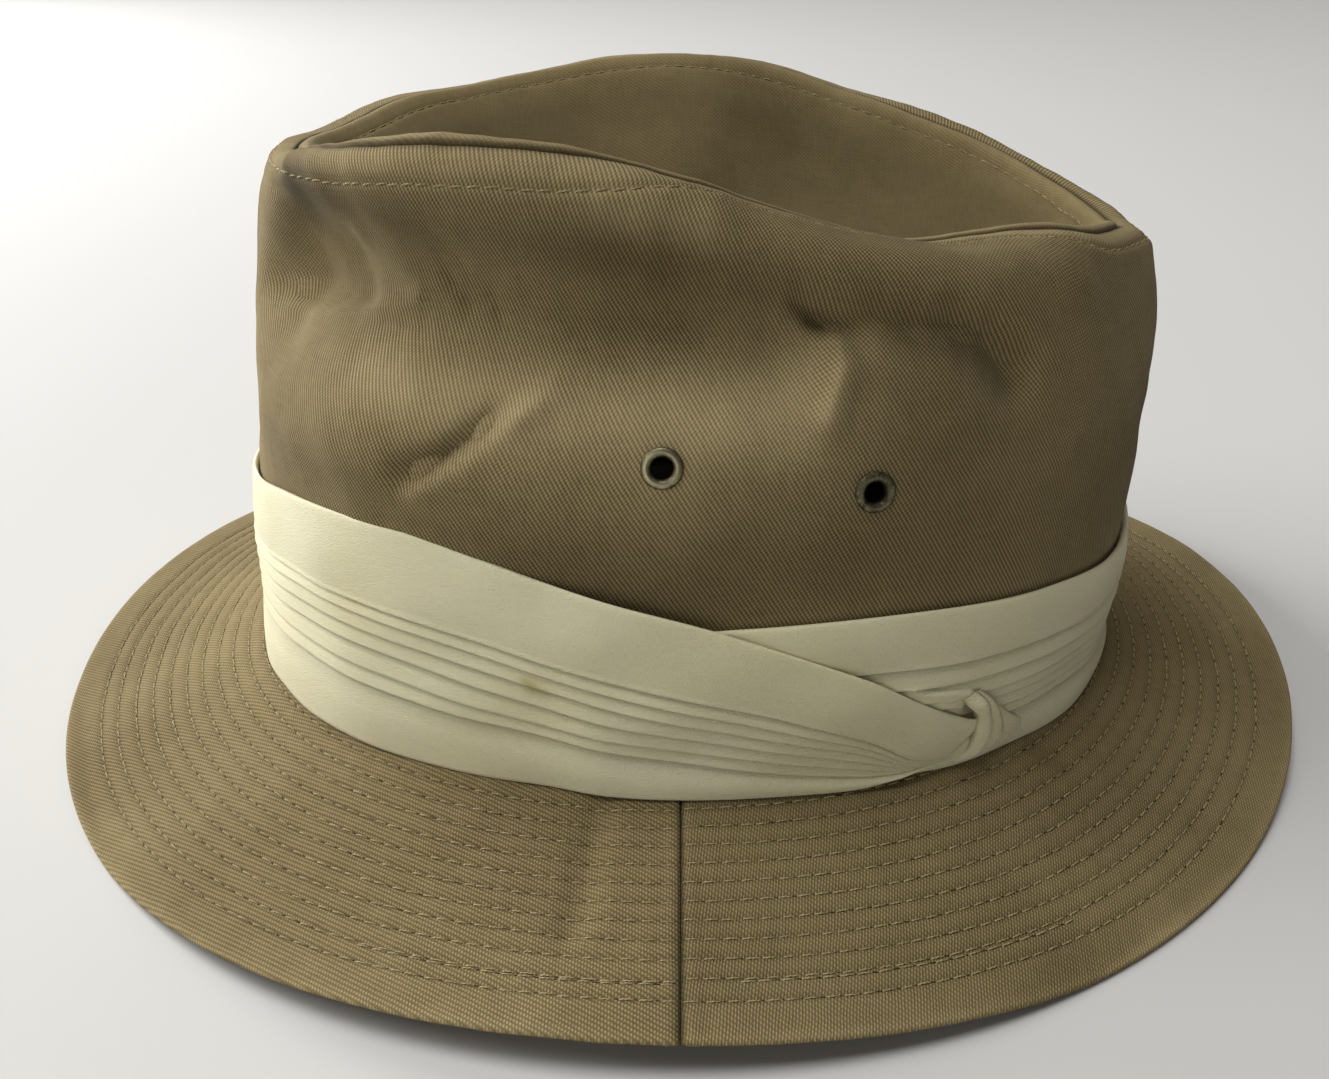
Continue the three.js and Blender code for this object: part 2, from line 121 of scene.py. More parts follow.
# Dents and folds of the crown, each a stroke along the wall through its places (around,
# height), then its reach and its depth; below 0 it stands out.
CROWN_FOLDS = (
    (((150, 113), (135, 116), (120, 116.5), (110, 114.5), (100, 112.5), (82, 112.5)), 14, 10.0),
    (((150, 123), (134, 126.5), (116, 126), (102, 123), (90, 121)), 9, 4.5),
    (((140, 86), (122, 88), (106, 87), (90, 84)), 14, -2.4),          # swell under the pinch
    (((159, 112), (149, 114), (138, 116)), 5.5, 2.4),                 # front pinch
    (((147, 129), (141, 124)), 6.0, 2.0),
    (((136, 128), (127, 123.5), (119, 120.5)), 3.0, -1.1),            # ridge over it
    (((95, 134), (94, 124)), 3.4, -0.9),
    (((77, 121.5), (74, 118), (71.8, 115)), 3.4, 2.2),                # back pocket
    (((79, 119.5), (75.5, 114)), 2.0, -1.0),
    (((74.5, 117.5), (69, 117.5), (63.5, 114), (60, 114), (56, 110.5), (52.5, 104)), 5.5, 4.2),
    (((72.5, 113.5), (73.5, 108), (75, 100.5)), 3.2, -1.7),           # lip below the pocket
    (((121, 85.5), (116, 91), (111, 98.5)), 3.5, 1.8),                # side crease
    (((118.5, 84), (113.5, 90), (108.3, 99.5), (105, 103)), 3.0, -0.9),
    (((150, 137), (135, 141), (120, 143), (106, 141.5), (97, 138.5), (88, 135)), 5.5, -2.2),
    (((235, 128), (275, 126)), 10, 3.6),                              # right hollow
    (((205, 116), (232, 119)), 7, 2.6),                               # right pinch
)
# Finer creases, with sharp floors or crests, in the same form.
CROWN_CREASES = (
    (((156, 106.5), (145, 109), (133, 114), (124.5, 118)), 2.4, -1.2),
    (((156, 109), (145, 111.8), (134, 116.5)), 2.0, 0.9),
    (((121.5, 133), (119.5, 130), (118, 127)), 1.6, 0.7),
    (((134, 112.5), (128, 111.5), (123.5, 113)), 2.0, 0.6),
    (((119.5, 122), (116.8, 118.5)), 2.2, 1.2),
    (((113.8, 121), (112.5, 117)), 1.8, 1.0),
    (((158, 130.5), (146, 132), (133, 131), (118, 127)), 2.4, 0.7),
    (((119.8, 87.5), (116.5, 91), (111.8, 97.5)), 1.8, 2.6),
    (((120.3, 83.2), (115.8, 88.4), (110.3, 96.6), (106, 102.5)), 2.0, -1.6),
    (((77, 121.5), (74, 118), (72, 115)), 1.8, 0.9),
    (((75, 118), (69, 118.3), (63.5, 114.6), (60, 114.8), (56, 111.5), (53, 106)), 2.2, 1.3),
    (((73.3, 113.5), (74, 108), (75.6, 100.5)), 2.2, -1.6),
    (((43, 106.5), (42.5, 101.5), (46, 101.5)), 1.2, 0.4),
)
# Painted shade in the crown's folds and hollows, darkening the twill's colour: places, reach,
# strength.
CROWN_PAINTED_SHADE = (
    (((155, 119), (148, 116.5), (139, 119)), 6.5, 1.0),
    (((150, 131), (139, 131), (127, 128)), 8, 0.9),
    (((124, 128), (114, 127), (102, 128), (92, 124), (84, 120)), 9, 0.75),
    (((128, 119), (114, 119.5), (100, 118), (90, 116), (82, 117)), 5, 0.6),
    (((149, 130), (144, 118)), 8, 1.0),
    (((141, 117), (134, 121)), 4, 0.6),
    (((76, 119), (72, 115)), 3.0, 0.7),
    (((75, 117), (69, 117), (63, 113), (57, 110.5), (53, 104)), 4.5, 0.8),
    (((119, 88), (112, 97)), 1.6, 0.6),
    (((66, 102), (60, 84)), 20, 0.3),
    (((112, 66), (92, 66), (76, 70)), 12, 0.4),
)
# Painted highlight on the bulge and the lips of the folds that face the light, in the same form.
CROWN_PAINTED_LIGHT = (
    (((128, 105), (112, 103.5), (96, 102), (80, 104)), 9, 0.7),
    (((118, 82), (111, 96)), 4, 0.3),
    (((74, 108), (75.5, 100)), 2.5, 0.6),
    (((100, 137), (88, 132)), 5, 0.5),
)
# around, then how far the sewn seam of the tip sits below its place in the frame
SEAM_DROP = (
    (0, 8.0), (25, 8.5), (33, 7.5), (40, 3.0), (46, -1.3), (56, -1.5), (68, 0.0), (81, 0.6),
    (90, 2.5), (99, 4.4), (113, 3.6), (130, 2.8), (150, 1.0), (177, -2.0), (200, -1.0),
    (225, 0.0), (300, 0.0), (341, 7.5),
)

# name, around, height
EYELETS = (
    ("eyelet_left_front", 92.9, 91.6),
    ("eyelet_left_back", 70.6, 85.8),
    ("eyelet_right_front", 267.1, 91.6),
    ("eyelet_right_back", 289.4, 85.8),
)


class Curve:
    """A smooth curve through the rows of a table, each of them a key and its values."""

    def __init__(self, rows, turn=None):
        rows = np.array(rows, float)
        if turn:
            before, after = rows[-2:].copy(), rows[:2].copy()
            before[:, 0] -= turn
            after[:, 0] += turn
            rows = np.vstack([before, rows, after])
        self.turn = turn
        self.keys, self.values = rows[:, 0], rows[:, 1:]

    def __call__(self, at):
        at = np.asarray(at, float)
        if self.turn:
            at = at % self.turn
        last = len(self.keys) - 1
        b = np.clip(np.searchsorted(self.keys, at, side="right") - 1, 0, last - 1)
        a, c, d = np.maximum(b - 1, 0), b + 1, np.minimum(b + 2, last)
        key, value = self.keys, self.values
        span = key[c] - key[b]
        t = np.clip((at - key[b]) / span, 0, 1)[..., None]
        slope_b = (value[c] - value[a]) * (span / (key[c] - key[a]))[..., None]
        slope_c = (value[d] - value[b]) * (span / (key[d] - key[b]))[..., None]
        mixed = (2 * t**3 - 3 * t**2 + 1) * value[b] + (t**3 - 2 * t**2 + t) * slope_b
        mixed = mixed + (3 * t**2 - 2 * t**3) * value[c] + (t**3 - t**2) * slope_c
        return np.moveaxis(mixed, -1, 0)


def lerp(a, b, t):
    return a + (b - a) * t


def unit(vectors):
    lengths = np.linalg.norm(vectors, axis=-1, keepdims=True)
    return vectors / np.maximum(lengths, 1e-12)


def eased(t):
    t = np.clip(t, 0, 1)
    return t * t * (3 - 2 * t)


def bump(away, reach):
    """A rounded stroke across a line: 1 on it, and 0 well beyond its reach."""
    return np.exp(-((away / reach) ** 2))


RIPPLE_WAVES = 14              # waves that make up one ripple


def ripple(points, size, seed):
    """Smooth heights from about -1 to 1, wandering over about size millimetres."""
    random = np.random.default_rng(seed)
    total = 0
    for _ in range(RIPPLE_WAVES):
        direction = unit(random.normal(size=3)) * 2 * math.pi / size * random.uniform(0.6, 1.6)
        total = total + np.sin(points @ direction + random.uniform(0, 2 * math.pi))
    return total / math.sqrt(RIPPLE_WAVES)


def wave(around, base, pair):
    total = np.full(np.shape(around), float(base))
    for row in BRIM_WAVES:
        angle = np.radians(around) * row[0]
        total = total + row[1 + 2 * pair] * np.cos(angle) + row[2 + 2 * pair] * np.sin(angle)
    return total


def oval(around, out):
    """A point of the head oval in plan, moved outwards along the oval's normal."""
    angle = np.radians(around)
    long, wide = HEAD_LENGTH / 2, HEAD_WIDTH / 2
    normal = unit(np.stack([long * np.sin(angle), wide * np.cos(angle)], -1))
    reach = out + HEAD_SQUARING * np.cos(4 * angle)
    return np.stack([wide * np.sin(angle), long * np.cos(angle)], -1) + normal * reach[..., None]


# ---------- brim ----------

def brim_foot(around):
    return wave(around, BRIM_FOOT, RISE)


def brim_width(around):
    return wave(around, BRIM_WIDTH, WIDTH)


def brim_top(around, across):
    """The brim's upper face. across: 0 at the band, below 0 under the crown."""
    around, across = np.broadcast_arrays(np.asarray(around, float), np.asarray(across, float))
    droop = np.radians(wave(around, BRIM_DROOP, DROOP))
    curl = np.radians(BRIM_CURL + CURL_WAVE * np.cos(2 * np.radians(around)))
    steps = 12
    past = np.maximum(across, 0)
    out = np.minimum(across, 0)
    height = brim_foot(around)
    share = past / brim_width(around)
    for k in range(steps):
        slope = droop + curl * ((k + 0.5) / steps * share - 0.5)
        out = out + np.cos(slope) * past / steps
        height = height - np.sin(slope) * past / steps
    return np.concatenate([oval(around, out), height[..., None]], -1)


def settled(height):
    """The underside lies flat on the ground where it is low, and eases back above that."""
    pressed = np.maximum(height - REST_PRESS, 0) * 1.5
    return np.where(height >= 3 * REST_PRESS, height, pressed)


def brim_skin(around, across, below=0.0):
    """The brim's cloth at a depth below its upper face, and the direction down through it."""
    along = brim_top(around + 0.5, across) - brim_top(around - 0.5, across)
    outwards = brim_top(around, across + 0.5) - brim_top(around, across - 0.5)
    down = unit(np.cross(outwards, along))
    top = brim_top(around, across)
    underside = top[..., 2] + down[..., 2] * BRIM_CLOTH
    top[..., 2] += settled(underside) - underside
    return top + down * np.asarray(below)[..., None], down


# ---------- crown ----------

COLUMNS = 720                  # columns of the lattices, half a degree apart
ARC_STEP = 0.6
HEIGHT_STEP = 0.5
LOWEST, HIGHEST = 15.0, 150.0  # ends of the lattice of heights
SECTION_STEPS = 120


class Lattice:
    """Values on columns round the hat and rows up it, read smoothly between them."""

    def __init__(self, values, first, step):
        self.values, self.first, self.step = values, first, step

    def __call__(self, around, row):
        around, row = np.broadcast_arrays(np.asarray(around, float), np.asarray(row, float))
        c = (around % 360) * (COLUMNS / 360)
        r = np.clip((row - self.first) / self.step, 0, self.values.shape[1] - 1.0001)
        c0, r0 = c.astype(int), r.astype(int)
        fc, fr = (c - c0)[..., None], (r - r0)[..., None]
        v = self.values
        low = v[c0, r0] * (1 - fc) + v[c0 + 1, r0] * fc
        high = v[c0, r0 + 1] * (1 - fc) + v[c0 + 1, r0 + 1] * fc
        return low * (1 - fr) + high * fr


class Crown:
    """The crown's skin before any folds: its points, its normals and its main arcs."""

    def __init__(self):
        around = np.arange(COLUMNS + 1) * (360 / COLUMNS)
        table = Curve(CROWN_SECTIONS, turn=360)(around)[..., None]
        rim, inset, bow, lean, square, dent, seam = table
        foot = (brim_foot(around) + GAP)[:, None]
        lift = np.linspace(0, math.pi / 2, SECTION_STEPS + 1)[None, :]
        power = 2 / square
        up = np.sin(lift) ** power
        swell = bow * (1 - (1 - up) ** BOW_RISE) - lean * up
        inward = (inset + bow - lean) * (1 - np.maximum(np.cos(lift), 0) ** power)
        plan = oval(np.broadcast_to(around[:, None], up.shape), swell - inward - BAND_BUILD)
        wall = np.concatenate([plan, (foot + (rim - foot) * up)[..., None]], -1)
        crest = wall[:, -1:]
        reach = 1 - np.arange(1, SECTION_STEPS + 1)[None, :] / SECTION_STEPS
        sink = (1 - reach**dent) ** 2
        floor = DENT_FLOOR + DENT_TILT * crest[..., 1] * reach
        tip = np.stack(
            [crest[..., 0] * reach, crest[..., 1] * reach, lerp(crest[..., 2], floor, sink)], -1
        )
        line = np.concatenate([wall, tip], 1)
        steps = np.linalg.norm(np.diff(line, axis=1), axis=-1)
        arcs = np.concatenate([np.zeros((len(line), 1)), np.cumsum(steps, 1)], 1)
        self.around = around
        drop = Curve(SEAM_DROP, turn=360)(around)[0]
        self.seams = arcs[:, SECTION_STEPS] + seam[:, 0] - drop
        self.ends = arcs[:, -1]
        rows = np.arange(0, self.ends.max() + ARC_STEP, ARC_STEP)
        points = np.stack([self.spread(rows, arcs, line[..., k]) for k in range(3)], -1)
        along = np.roll(points[:-1], -1, 0) - np.roll(points[:-1], 1, 0)
        along = np.concatenate([along, along[:1]])
        up = np.gradient(points, axis=1)
        normals = unit(np.cross(up, along))
        flat = np.linalg.norm(np.cross(up, along), axis=-1) < 1e-6
        normals[flat] = (0, 0, 1)
        self.points = Lattice(points, 0, ARC_STEP)
        self.normals = Lattice(normals, 0, ARC_STEP)
        heights = np.arange(LOWEST, HIGHEST, HEIGHT_STEP)
        wall_arcs = [
            np.interp(heights, column[:, 2], arc[: SECTION_STEPS + 1])
            for column, arc in zip(wall, arcs)
        ]
        self.heights = Lattice(np.array(wall_arcs)[..., None], LOWEST, HEIGHT_STEP)

    @staticmethod
    def spread(rows, arcs, values):
        return np.array([np.interp(rows, arc, value) for arc, value in zip(arcs, values)])

    def seam(self, around):
        return np.interp(np.asarray(around) % 360, self.around, self.seams)

    def end(self, around):
        return np.interp(np.asarray(around) % 360, self.around, self.ends)

    def arc_at(self, around, height):
        return self.heights(around, height)[..., 0]

    def plain(self, around, arc):
        return self.points(around, arc), unit(self.normals(around, arc))


CROWN = Crown()


def stroke_points(places, count=5):
    """Marks along a stroke on the crown's wall, through its places."""
    t = np.linspace(0, len(places) - 1, count * (len(places) - 1) + 1)
    around = np.interp(t, range(len(places)), [place[0] for place in places])
    height = np.interp(t, range(len(places)), [place[1] for place in places])
    return CROWN.points(around, CROWN.arc_at(around, height))


def distance_to(points, marks):
    """The distance from each point to a polyline."""
    nearest = np.full(points.shape[:-1], 1e9)
    for a, b in zip(marks[:-1], marks[1:]):
        step = b - a
        t = np.clip((points - a) @ step / (step @ step), 0, 1)
        away = np.linalg.norm(points - a - t[..., None] * step, axis=-1)
        nearest = np.minimum(nearest, away)
    return nearest


def fold_depth(points):
    """How far the folds and creases sink the crown's skin at each point."""
    depth = np.zeros(points.shape[:-1])
    for strokes, sharp in ((CROWN_FOLDS, False), (CROWN_CREASES, True)):
        for places, reach, deep in strokes:
            marks = stroke_points(places)
            middle = (marks.max(0) + marks.min(0)) / 2
            radius = np.linalg.norm(marks - middle, axis=-1).max() + 3.2 * reach
            near = np.linalg.norm(points - middle, axis=-1) < radius
            away = distance_to(points[near], marks)
            if sharp:
                away = np.sqrt(away**2 + 0.3**2)
                depth[near] += deep * np.exp(-away / reach * 1.4)
            else:
                depth[near] += deep * bump(away, reach)
    return depth


def touched(points, strokes):
    """How far the given strokes have darkened or paled each point, from 0 to 1."""
    clean = 1.0
    for places, reach, strength in strokes:
        clean = clean * (1 - strength * bump(distance_to(points, stroke_points(places)), reach))
    return 1 - clean


CRUMPLED_FROM = 50             # height where the cloth begins to be uneven
CRUMPLED_OVER = 30             # and how far above that it is fully so


def crumple(points):
    """The soft unevenness of worn cloth, in millimetres."""
    broad = 0.55 * ripple(points, 46, 11)
    middling = 0.16 * ripple(points, 17, 12)
    fine = 0.05 * ripple(points, 7, 13)
    return broad + middling + fine


def crown_cloth(around, arc, out=0.0):
    """The crown's skin with its folds, at a height out of it, and its plain normal."""
    point, normal = CROWN.plain(around, arc)
    height = np.asarray(out) - fold_depth(point)
    above_band = eased((point[..., 2] - CRUMPLED_FROM) / CRUMPLED_OVER)
    height = height + crumple(point) * above_band
    return point + normal * height[..., None], normal


# ---------- meshes ----------

def in_place(points):
    """Points about the middle of the head, in metres in the hat's own frame."""
    return (np.asarray(points) + np.array([HEAD_X, HEAD_Y, 0.0])) * METRES


def finished_piece(name, mesh, material, node):
    """Puts a mesh into the scene as a piece that stands for a node of the frame."""
    mesh.shade_smooth()
    piece = bpy.data.objects.new(name, mesh)
    bpy.context.scene.collection.objects.link(piece)
    mesh.materials.append(material)
    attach(piece, "root")
    if node:
        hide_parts(node)
    return piece


def cloth_mesh(name, points, cloth, layers):
    """A closed mesh over a grid of points, columns by rows.

    cloth: the cloth map in mm. layers: values of its attributes. Columns or rows that meet
    are welded, and so is any end that is pinched together.
    """
    columns, rows = points.shape[:2]
    form = bmesh.new()
    bmesh.ops.create_grid(form, x_segments=columns - 1, y_segments=rows - 1, size=1.0)
    mesh = bpy.data.meshes.new(name)
    form.to_mesh(mesh)
    places = np.empty(len(mesh.vertices) * 3)
    mesh.vertices.foreach_get("co", places)
    places = places.reshape(-1, 3)
    column = np.rint((places[:, 0] + 1) / 2 * (columns - 1)).astype(int)
    row = np.rint((places[:, 1] + 1) / 2 * (rows - 1)).astype(int)
    mesh.vertices.foreach_set("co", in_place(points[column, row]).ravel())
    corners = np.empty(len(mesh.loops), int)
    mesh.loops.foreach_get("vertex_index", corners)
    at = cloth[column[corners], row[corners]]
    mesh.uv_layers.new(name="cloth").data.foreach_set("uv", at.ravel())
    for key, values in layers.items():
        layer = mesh.attributes.new(key, "FLOAT", "POINT")
        layer.data.foreach_set("value", values[column, row])
    form.clear()
    form.from_mesh(mesh)
    bmesh.ops.remove_doubles(form, verts=form.verts, dist=2e-6)
    bmesh.ops.dissolve_degenerate(form, edges=form.edges, dist=1e-7)
    bmesh.ops.recalc_face_normals(form, faces=form.faces)
    form.to_mesh(mesh)
    form.free()
    return mesh


THREAD_LENGTH = 1.7            # of the cloth map along one thread
THREAD_STEP = 0.8              # and from one of its rings to the next


def thread_mesh(name, stitches, wide, high, sides=5):
    """Short threads, each through its own row of five places with the normals there.

    stitches: (count, 5, 6), place and normal. wide and high: half the thread's size at each
    of the five.
    """
    form = bmesh.new()
    bmesh.ops.create_cone(form, cap_ends=True, segments=sides, radius1=1, radius2=1, depth=1)
    upright = [e for e in form.edges if abs(e.verts[0].co.z - e.verts[1].co.z) > 0.5]
    bmesh.ops.subdivide_edges(form, edges=upright, cuts=3)
    bmesh.ops.recalc_face_normals(form, faces=form.faces)
    one = bpy.data.meshes.new(name + "_one")
    form.to_mesh(one)
    form.free()
    holder = bpy.data.objects.new(name + "_one", one)
    bpy.context.scene.collection.objects.link(holder)
    row = holder.modifiers.new("row", "ARRAY")
    row.count = len(stitches)
    row.use_relative_offset = False
    shown = holder.evaluated_get(bpy.context.evaluated_depsgraph_get())
    mesh = bpy.data.meshes.new_from_object(shown)
    mesh.name = name
    shape = np.empty(len(one.vertices) * 3)
    one.vertices.foreach_get("co", shape)
    shape = shape.reshape(-1, 3)
    ring = np.rint((shape[:, 2] + 0.5) * 4).astype(int)
    place, normal = stitches[..., :3], unit(stitches[..., 3:])
    along = unit(np.gradient(place, axis=1))
    side = unit(np.cross(normal, along))
    over = np.cross(along, side)
    wide, high = np.asarray(wide)[ring][:, None], np.asarray(high)[ring][:, None]
    sideways = side[:, ring] * shape[:, :1] * wide
    placed = place[:, ring] + sideways + over[:, ring] * shape[:, 1:2] * high
    mesh.vertices.foreach_set("co", in_place(placed.reshape(-1, 3)).ravel())
    length = np.repeat(np.arange(len(stitches)), len(shape)) * THREAD_LENGTH
    length = length + np.tile(ring, len(stitches)) * THREAD_STEP
    turn = np.tile(np.arctan2(shape[:, 1], shape[:, 0]), len(stitches))
    corners = np.empty(len(mesh.loops), int)
    mesh.loops.foreach_get("vertex_index", corners)
    cloth = np.stack([length, turn], -1)[corners]
    layer = mesh.uv_layers.get("cloth") or mesh.uv_layers.new(name="cloth")
    layer.data.foreach_set("uv", cloth.ravel())
    bpy.data.objects.remove(holder)
    bpy.data.meshes.remove(one)
    return mesh


# ---------- materials ----------

def linear(red, green, blue):
    """A colour as Blender holds it, from the usual 0 to 255."""
    return tuple(
        c / 3294.6 if c <= 10.31 else ((c / 255 + 0.055) / 1.055) ** 2.4
        for c in (red, green, blue)
    )


class Signal:
    """A node's output, with arithmetic that adds Math nodes."""

    def __init__(self, finish, socket):
        self.finish, self.socket = finish, socket

    def maths(self, operation, *values):
        return self.finish.maths(operation, *values)

    def __add__(self, other):
        return self.maths("ADD", self, other)

    def __radd__(self, other):
        return self.maths("ADD", other, self)

    def __sub__(self, other):
        return self.maths("SUBTRACT", self, other)

    def __rsub__(self, other):
        return self.maths("SUBTRACT", other, self)

    def __mul__(self, other):
        return self.maths("MULTIPLY", self, other)

    def __rmul__(self, other):
        return self.maths("MULTIPLY", other, self)

    def __truediv__(self, other):
        return self.maths("DIVIDE", self, other)

    def __rtruediv__(self, other):
        return self.maths("DIVIDE", other, self)


class Finish:
    """A material that is built up from nodes."""

    def __init__(self, name):
        self.material = bpy.data.materials.new(name)
        self.material.use_nodes = True
        self.tree = self.material.node_tree
        self.tree.nodes.clear()

    def node(self, kind, settings=None, sockets=None, output=0):
        """Adds a node: its settings first, then the values or links of its sockets."""
        node = self.tree.nodes.new(kind)
        for key, value in (settings or {}).items():
            if key == "stops":
                self.set_stops(node.color_ramp, value)
            else:
                setattr(node, key, value)
        for key, value in (sockets or {}).items():
            if isinstance(value, Signal):
                self.tree.links.new(value.socket, node.inputs[key])
            else:
                node.inputs[key].default_value = value
        return Signal(self, node.outputs[output])

    @staticmethod
    def set_stops(ramp, stops):
        while len(ramp.elements) < len(stops):
            ramp.elements.new(1.0)
        for element, (place, shade) in zip(ramp.elements, stops):
            element.position = place
            element.color = (shade, shade, shade, 1)

    def maths(self, operation, *values):
        return self.node("ShaderNodeMath", {"operation": operation}, dict(enumerate(values)))

    def ramp(self, value, stops):
        settings = {"stops": stops}
        return self.node("ShaderNodeValToRGB", settings, {"Fac": value}, "Color")

    def mix(self, factor, a, b, blend="MIX"):
        settings = {"data_type": "RGBA", "blend_type": blend, "clamp_factor": True}
        a, b = (c if isinstance(c, Signal) else (*c, 1) for c in (a, b))
        return self.node("ShaderNodeMix", settings, {0: factor, 6: a, 7: b}, 2)

    def clamped(self, value):
        return self.maths("MINIMUM", self.maths("MAXIMUM", value, 0.0), 1.0)

    def noise(self, at, size, detail=2.0, rough=0.5):
        """Noise whose lumps are about size across, in the units of at."""
        sockets = {"Scale": 1 / size, "Detail": detail, "Roughness": rough, "Vector": at}
        return self.node("ShaderNodeTexNoise", None, sockets)

    def bumped(self, strength, distance, height):
        sockets = {"Strength": strength, "Distance": distance, "Height": height}
        return self.node("ShaderNodeBump", None, sockets)

    def cloth_map(self, turn=0.0, scale=(1, 1, 1)):
        at = self.node("ShaderNodeUVMap", {"uv_map": "cloth"})
        sockets = {"Vector": at, "Rotation": (0, 0, math.radians(turn)), "Scale": scale}
        return self.node("ShaderNodeMapping", None, sockets)

    def axis(self, at, name):
        return self.node("ShaderNodeSeparateXYZ", None, {0: at}, name)

    def layer(self, name):
        return self.node("ShaderNodeAttribute", {"attribute_name": name}, None, "Fac")

    def objects(self):
        return self.node("ShaderNodeTexCoord", None, None, "Object")

    def surface(self, sockets):
        """Ends the material in a Principled shader with the given sockets."""
        shader = self.node("ShaderNodeBsdfPrincipled", None, sockets)
        output = self.tree.nodes.new("ShaderNodeOutputMaterial")
        self.tree.links.new(shader.socket, output.inputs["Surface"])
        return self.material


CROWN_YARNS = 0.288, 0.51      # spacing of the warp and of the weft, mm
BRIM_YARNS = 0.355, 0.585
TWILL_RUN = 3                  # yarns in one repeat of the weave, each way


def twill_finish(name, colours, turn, yarns, weave, depth=1.0):
    """Cotton twill on a piece's cloth map, with its ribs down to the left of the warp.

    turn: of the warp. yarns: the spacing of the warp's and of the weft's, mm. weave: how
    clearly the ribs, the breaks across them and the weft show.
    """
    f = Finish(name)
    at = f.cloth_map(turn)
    wander = f.noise(at, 9.0, detail=2.0)
    u = (f.axis(at, "X") / yarns[0] + (wander - 0.5) * 2.0) * (2 * math.pi / TWILL_RUN)
    v = (f.axis(at, "Y") / yarns[1] + (wander - 0.5) * 1.2) * (2 * math.pi / TWILL_RUN)
    ribs, breaks, picks = weave
    rise = f.maths("COSINE", v - u) * ribs + f.maths("COSINE", v * 2 + u) * breaks
    rise = rise + f.maths("COSINE", v * TWILL_RUN) * picks
    rise = rise + f.maths("COSINE", u * TWILL_RUN) * 0.05 + 0.5
    slub = f.noise(f.cloth_map(turn, (2.2, 0.16, 1)), 1.0, detail=2.0)
    cross_slub = f.noise(f.cloth_map(turn, (0.12, 2.0, 1)), 1.0, detail=1.0)
    stain = f.noise(f.objects(), 0.030, detail=3.0)
    mottle = f.noise(f.objects(), 0.006, detail=3.0, rough=0.6)
    shade = (stain - 0.5) * 0.24 + (mottle - 0.5) * 0.14
    shade = shade + (slub - 0.5) * 0.20 + (cross_slub - 0.5) * 0.14
    # This layer pales or darkens the twill: rubbed wear at the seam roll and the hem, painted
    # highlight on the crown's bulge and fold lips, and painted shade in the brim's quilting
    # grooves.
    shade = shade + f.layer("wear") * 0.5
    tone = f.clamped(rise * 0.9 + shade)
    deep, base, pale = colours
    low = f.ramp(tone, ((0.0, 0.0), (0.5, 1.0)))
    high = f.ramp(tone, ((0.5, 0.0), (1.0, 1.0)))
    colour = f.mix(high, f.mix(low, deep, base), pale)
    # Painted shade: in folds, hollows and seam ditches the colour darkens towards 40% of the gap
    # colour.
    colour = f.mix(f.layer("grime") * 0.8, colour, tuple(0.4 * c for c in deep))
    lift = rise + (slub - 0.5) * 0.3
    normal = f.bumped(0.9 * depth, 0.00020, lift)
    return f.surface(
        {
            "Base Color": colour,
            "Roughness": 0.95,
            "Specular IOR Level": 0.12,
            "Sheen Weight": 0.03,
            "Sheen Roughness": 0.5,
            "Normal": normal,
        }
    )


def thread_finish(name, colour, dark):
    """Spun sewing thread, with its twist."""
    f = Finish(name)
    at = f.cloth_map()
    twist = f.maths("SINE", f.axis(at, "X") * 9.0 + f.axis(at, "Y") * 2.0)
    each = f.node(
        "ShaderNodeTexWhiteNoise",
        {"noise_dimensions": "1D"},
        {"W": f.maths("FLOOR", f.axis(at, "X") / THREAD_LENGTH)},
    )
    tone = twist * 0.22 + each * 0.5 + 0.35
    normal = f.bumped(0.5, 0.0001, twist)
    return f.surface(
        {
            "Base Color": f.mix(tone, dark, colour),
            "Roughness": 0.75,
            "Specular IOR Level": 0.3,
            "Normal": normal,
        }
    )


def crepe_finish(name, colours):
    """Cream crepe with a sandy grain, slightly yellowed."""
    f = Finish(name)
    at = f.cloth_map()
    grain = f.noise(f.cloth_map(0, (1.0, 1.25, 1)), 0.42, detail=3.0, rough=0.62)
    weave = f.noise(f.cloth_map(0, (0.5, 3.0, 1)), 0.8, detail=2.0)
    age = f.noise(at, 24.0, detail=3.0)
    tone = (age - 0.5) * 0.9 + (grain - 0.5) * 0.6 + (weave - 0.5) * 0.4 + 0.5
    tone = tone + f.layer("wear") * 0.5
    base, yellowed, stained, fold_shade_colour = colours
    colour = f.mix(tone, yellowed, base)
    colour = f.mix(f.layer("stain"), colour, stained)
    # Painted shade: the crease layer darkens the crepe under each pleat's edge, below the last
    # pleat, in the pocket behind the knot and along the knot's edges.
    colour = f.mix(f.layer("crease") * 0.7, colour, fold_shade_colour)
    lift = grain + weave * 0.5
    normal = f.bumped(0.9, 0.00045, lift)
    return f.surface(
        {
            "Base Color": colour,
            "Roughness": 0.62,
            "Specular IOR Level": 0.35,
            "Sheen Weight": 0.15,
            "Sheen Roughness": 0.4,
            "Normal": normal,
        }
    )


def brass_finish(name, colours, polish):
    """Antique brass, dark in its hollows and rubbed on its crest."""
    f = Finish(name)
    at = f.objects()
    patina = f.noise(at, 0.0016, detail=4.0, rough=0.65)
    scratch = f.noise(at, 0.0004, detail=2.0)
    rub = f.layer("wear") * polish
    tone = f.clamped((patina - 0.5) * 1.2 + (scratch - 0.5) * 0.5 + rub)
    dark, bright = colours
    normal = f.bumped(0.35, 0.00008, patina)
    return f.surface(
        {
            "Base Color": f.mix(tone, dark, bright),
            "Metallic": 0.9,
            "Roughness": 0.58 - tone * 0.26,
            "Normal": normal,
        }
    )


# ---------- settings ----------

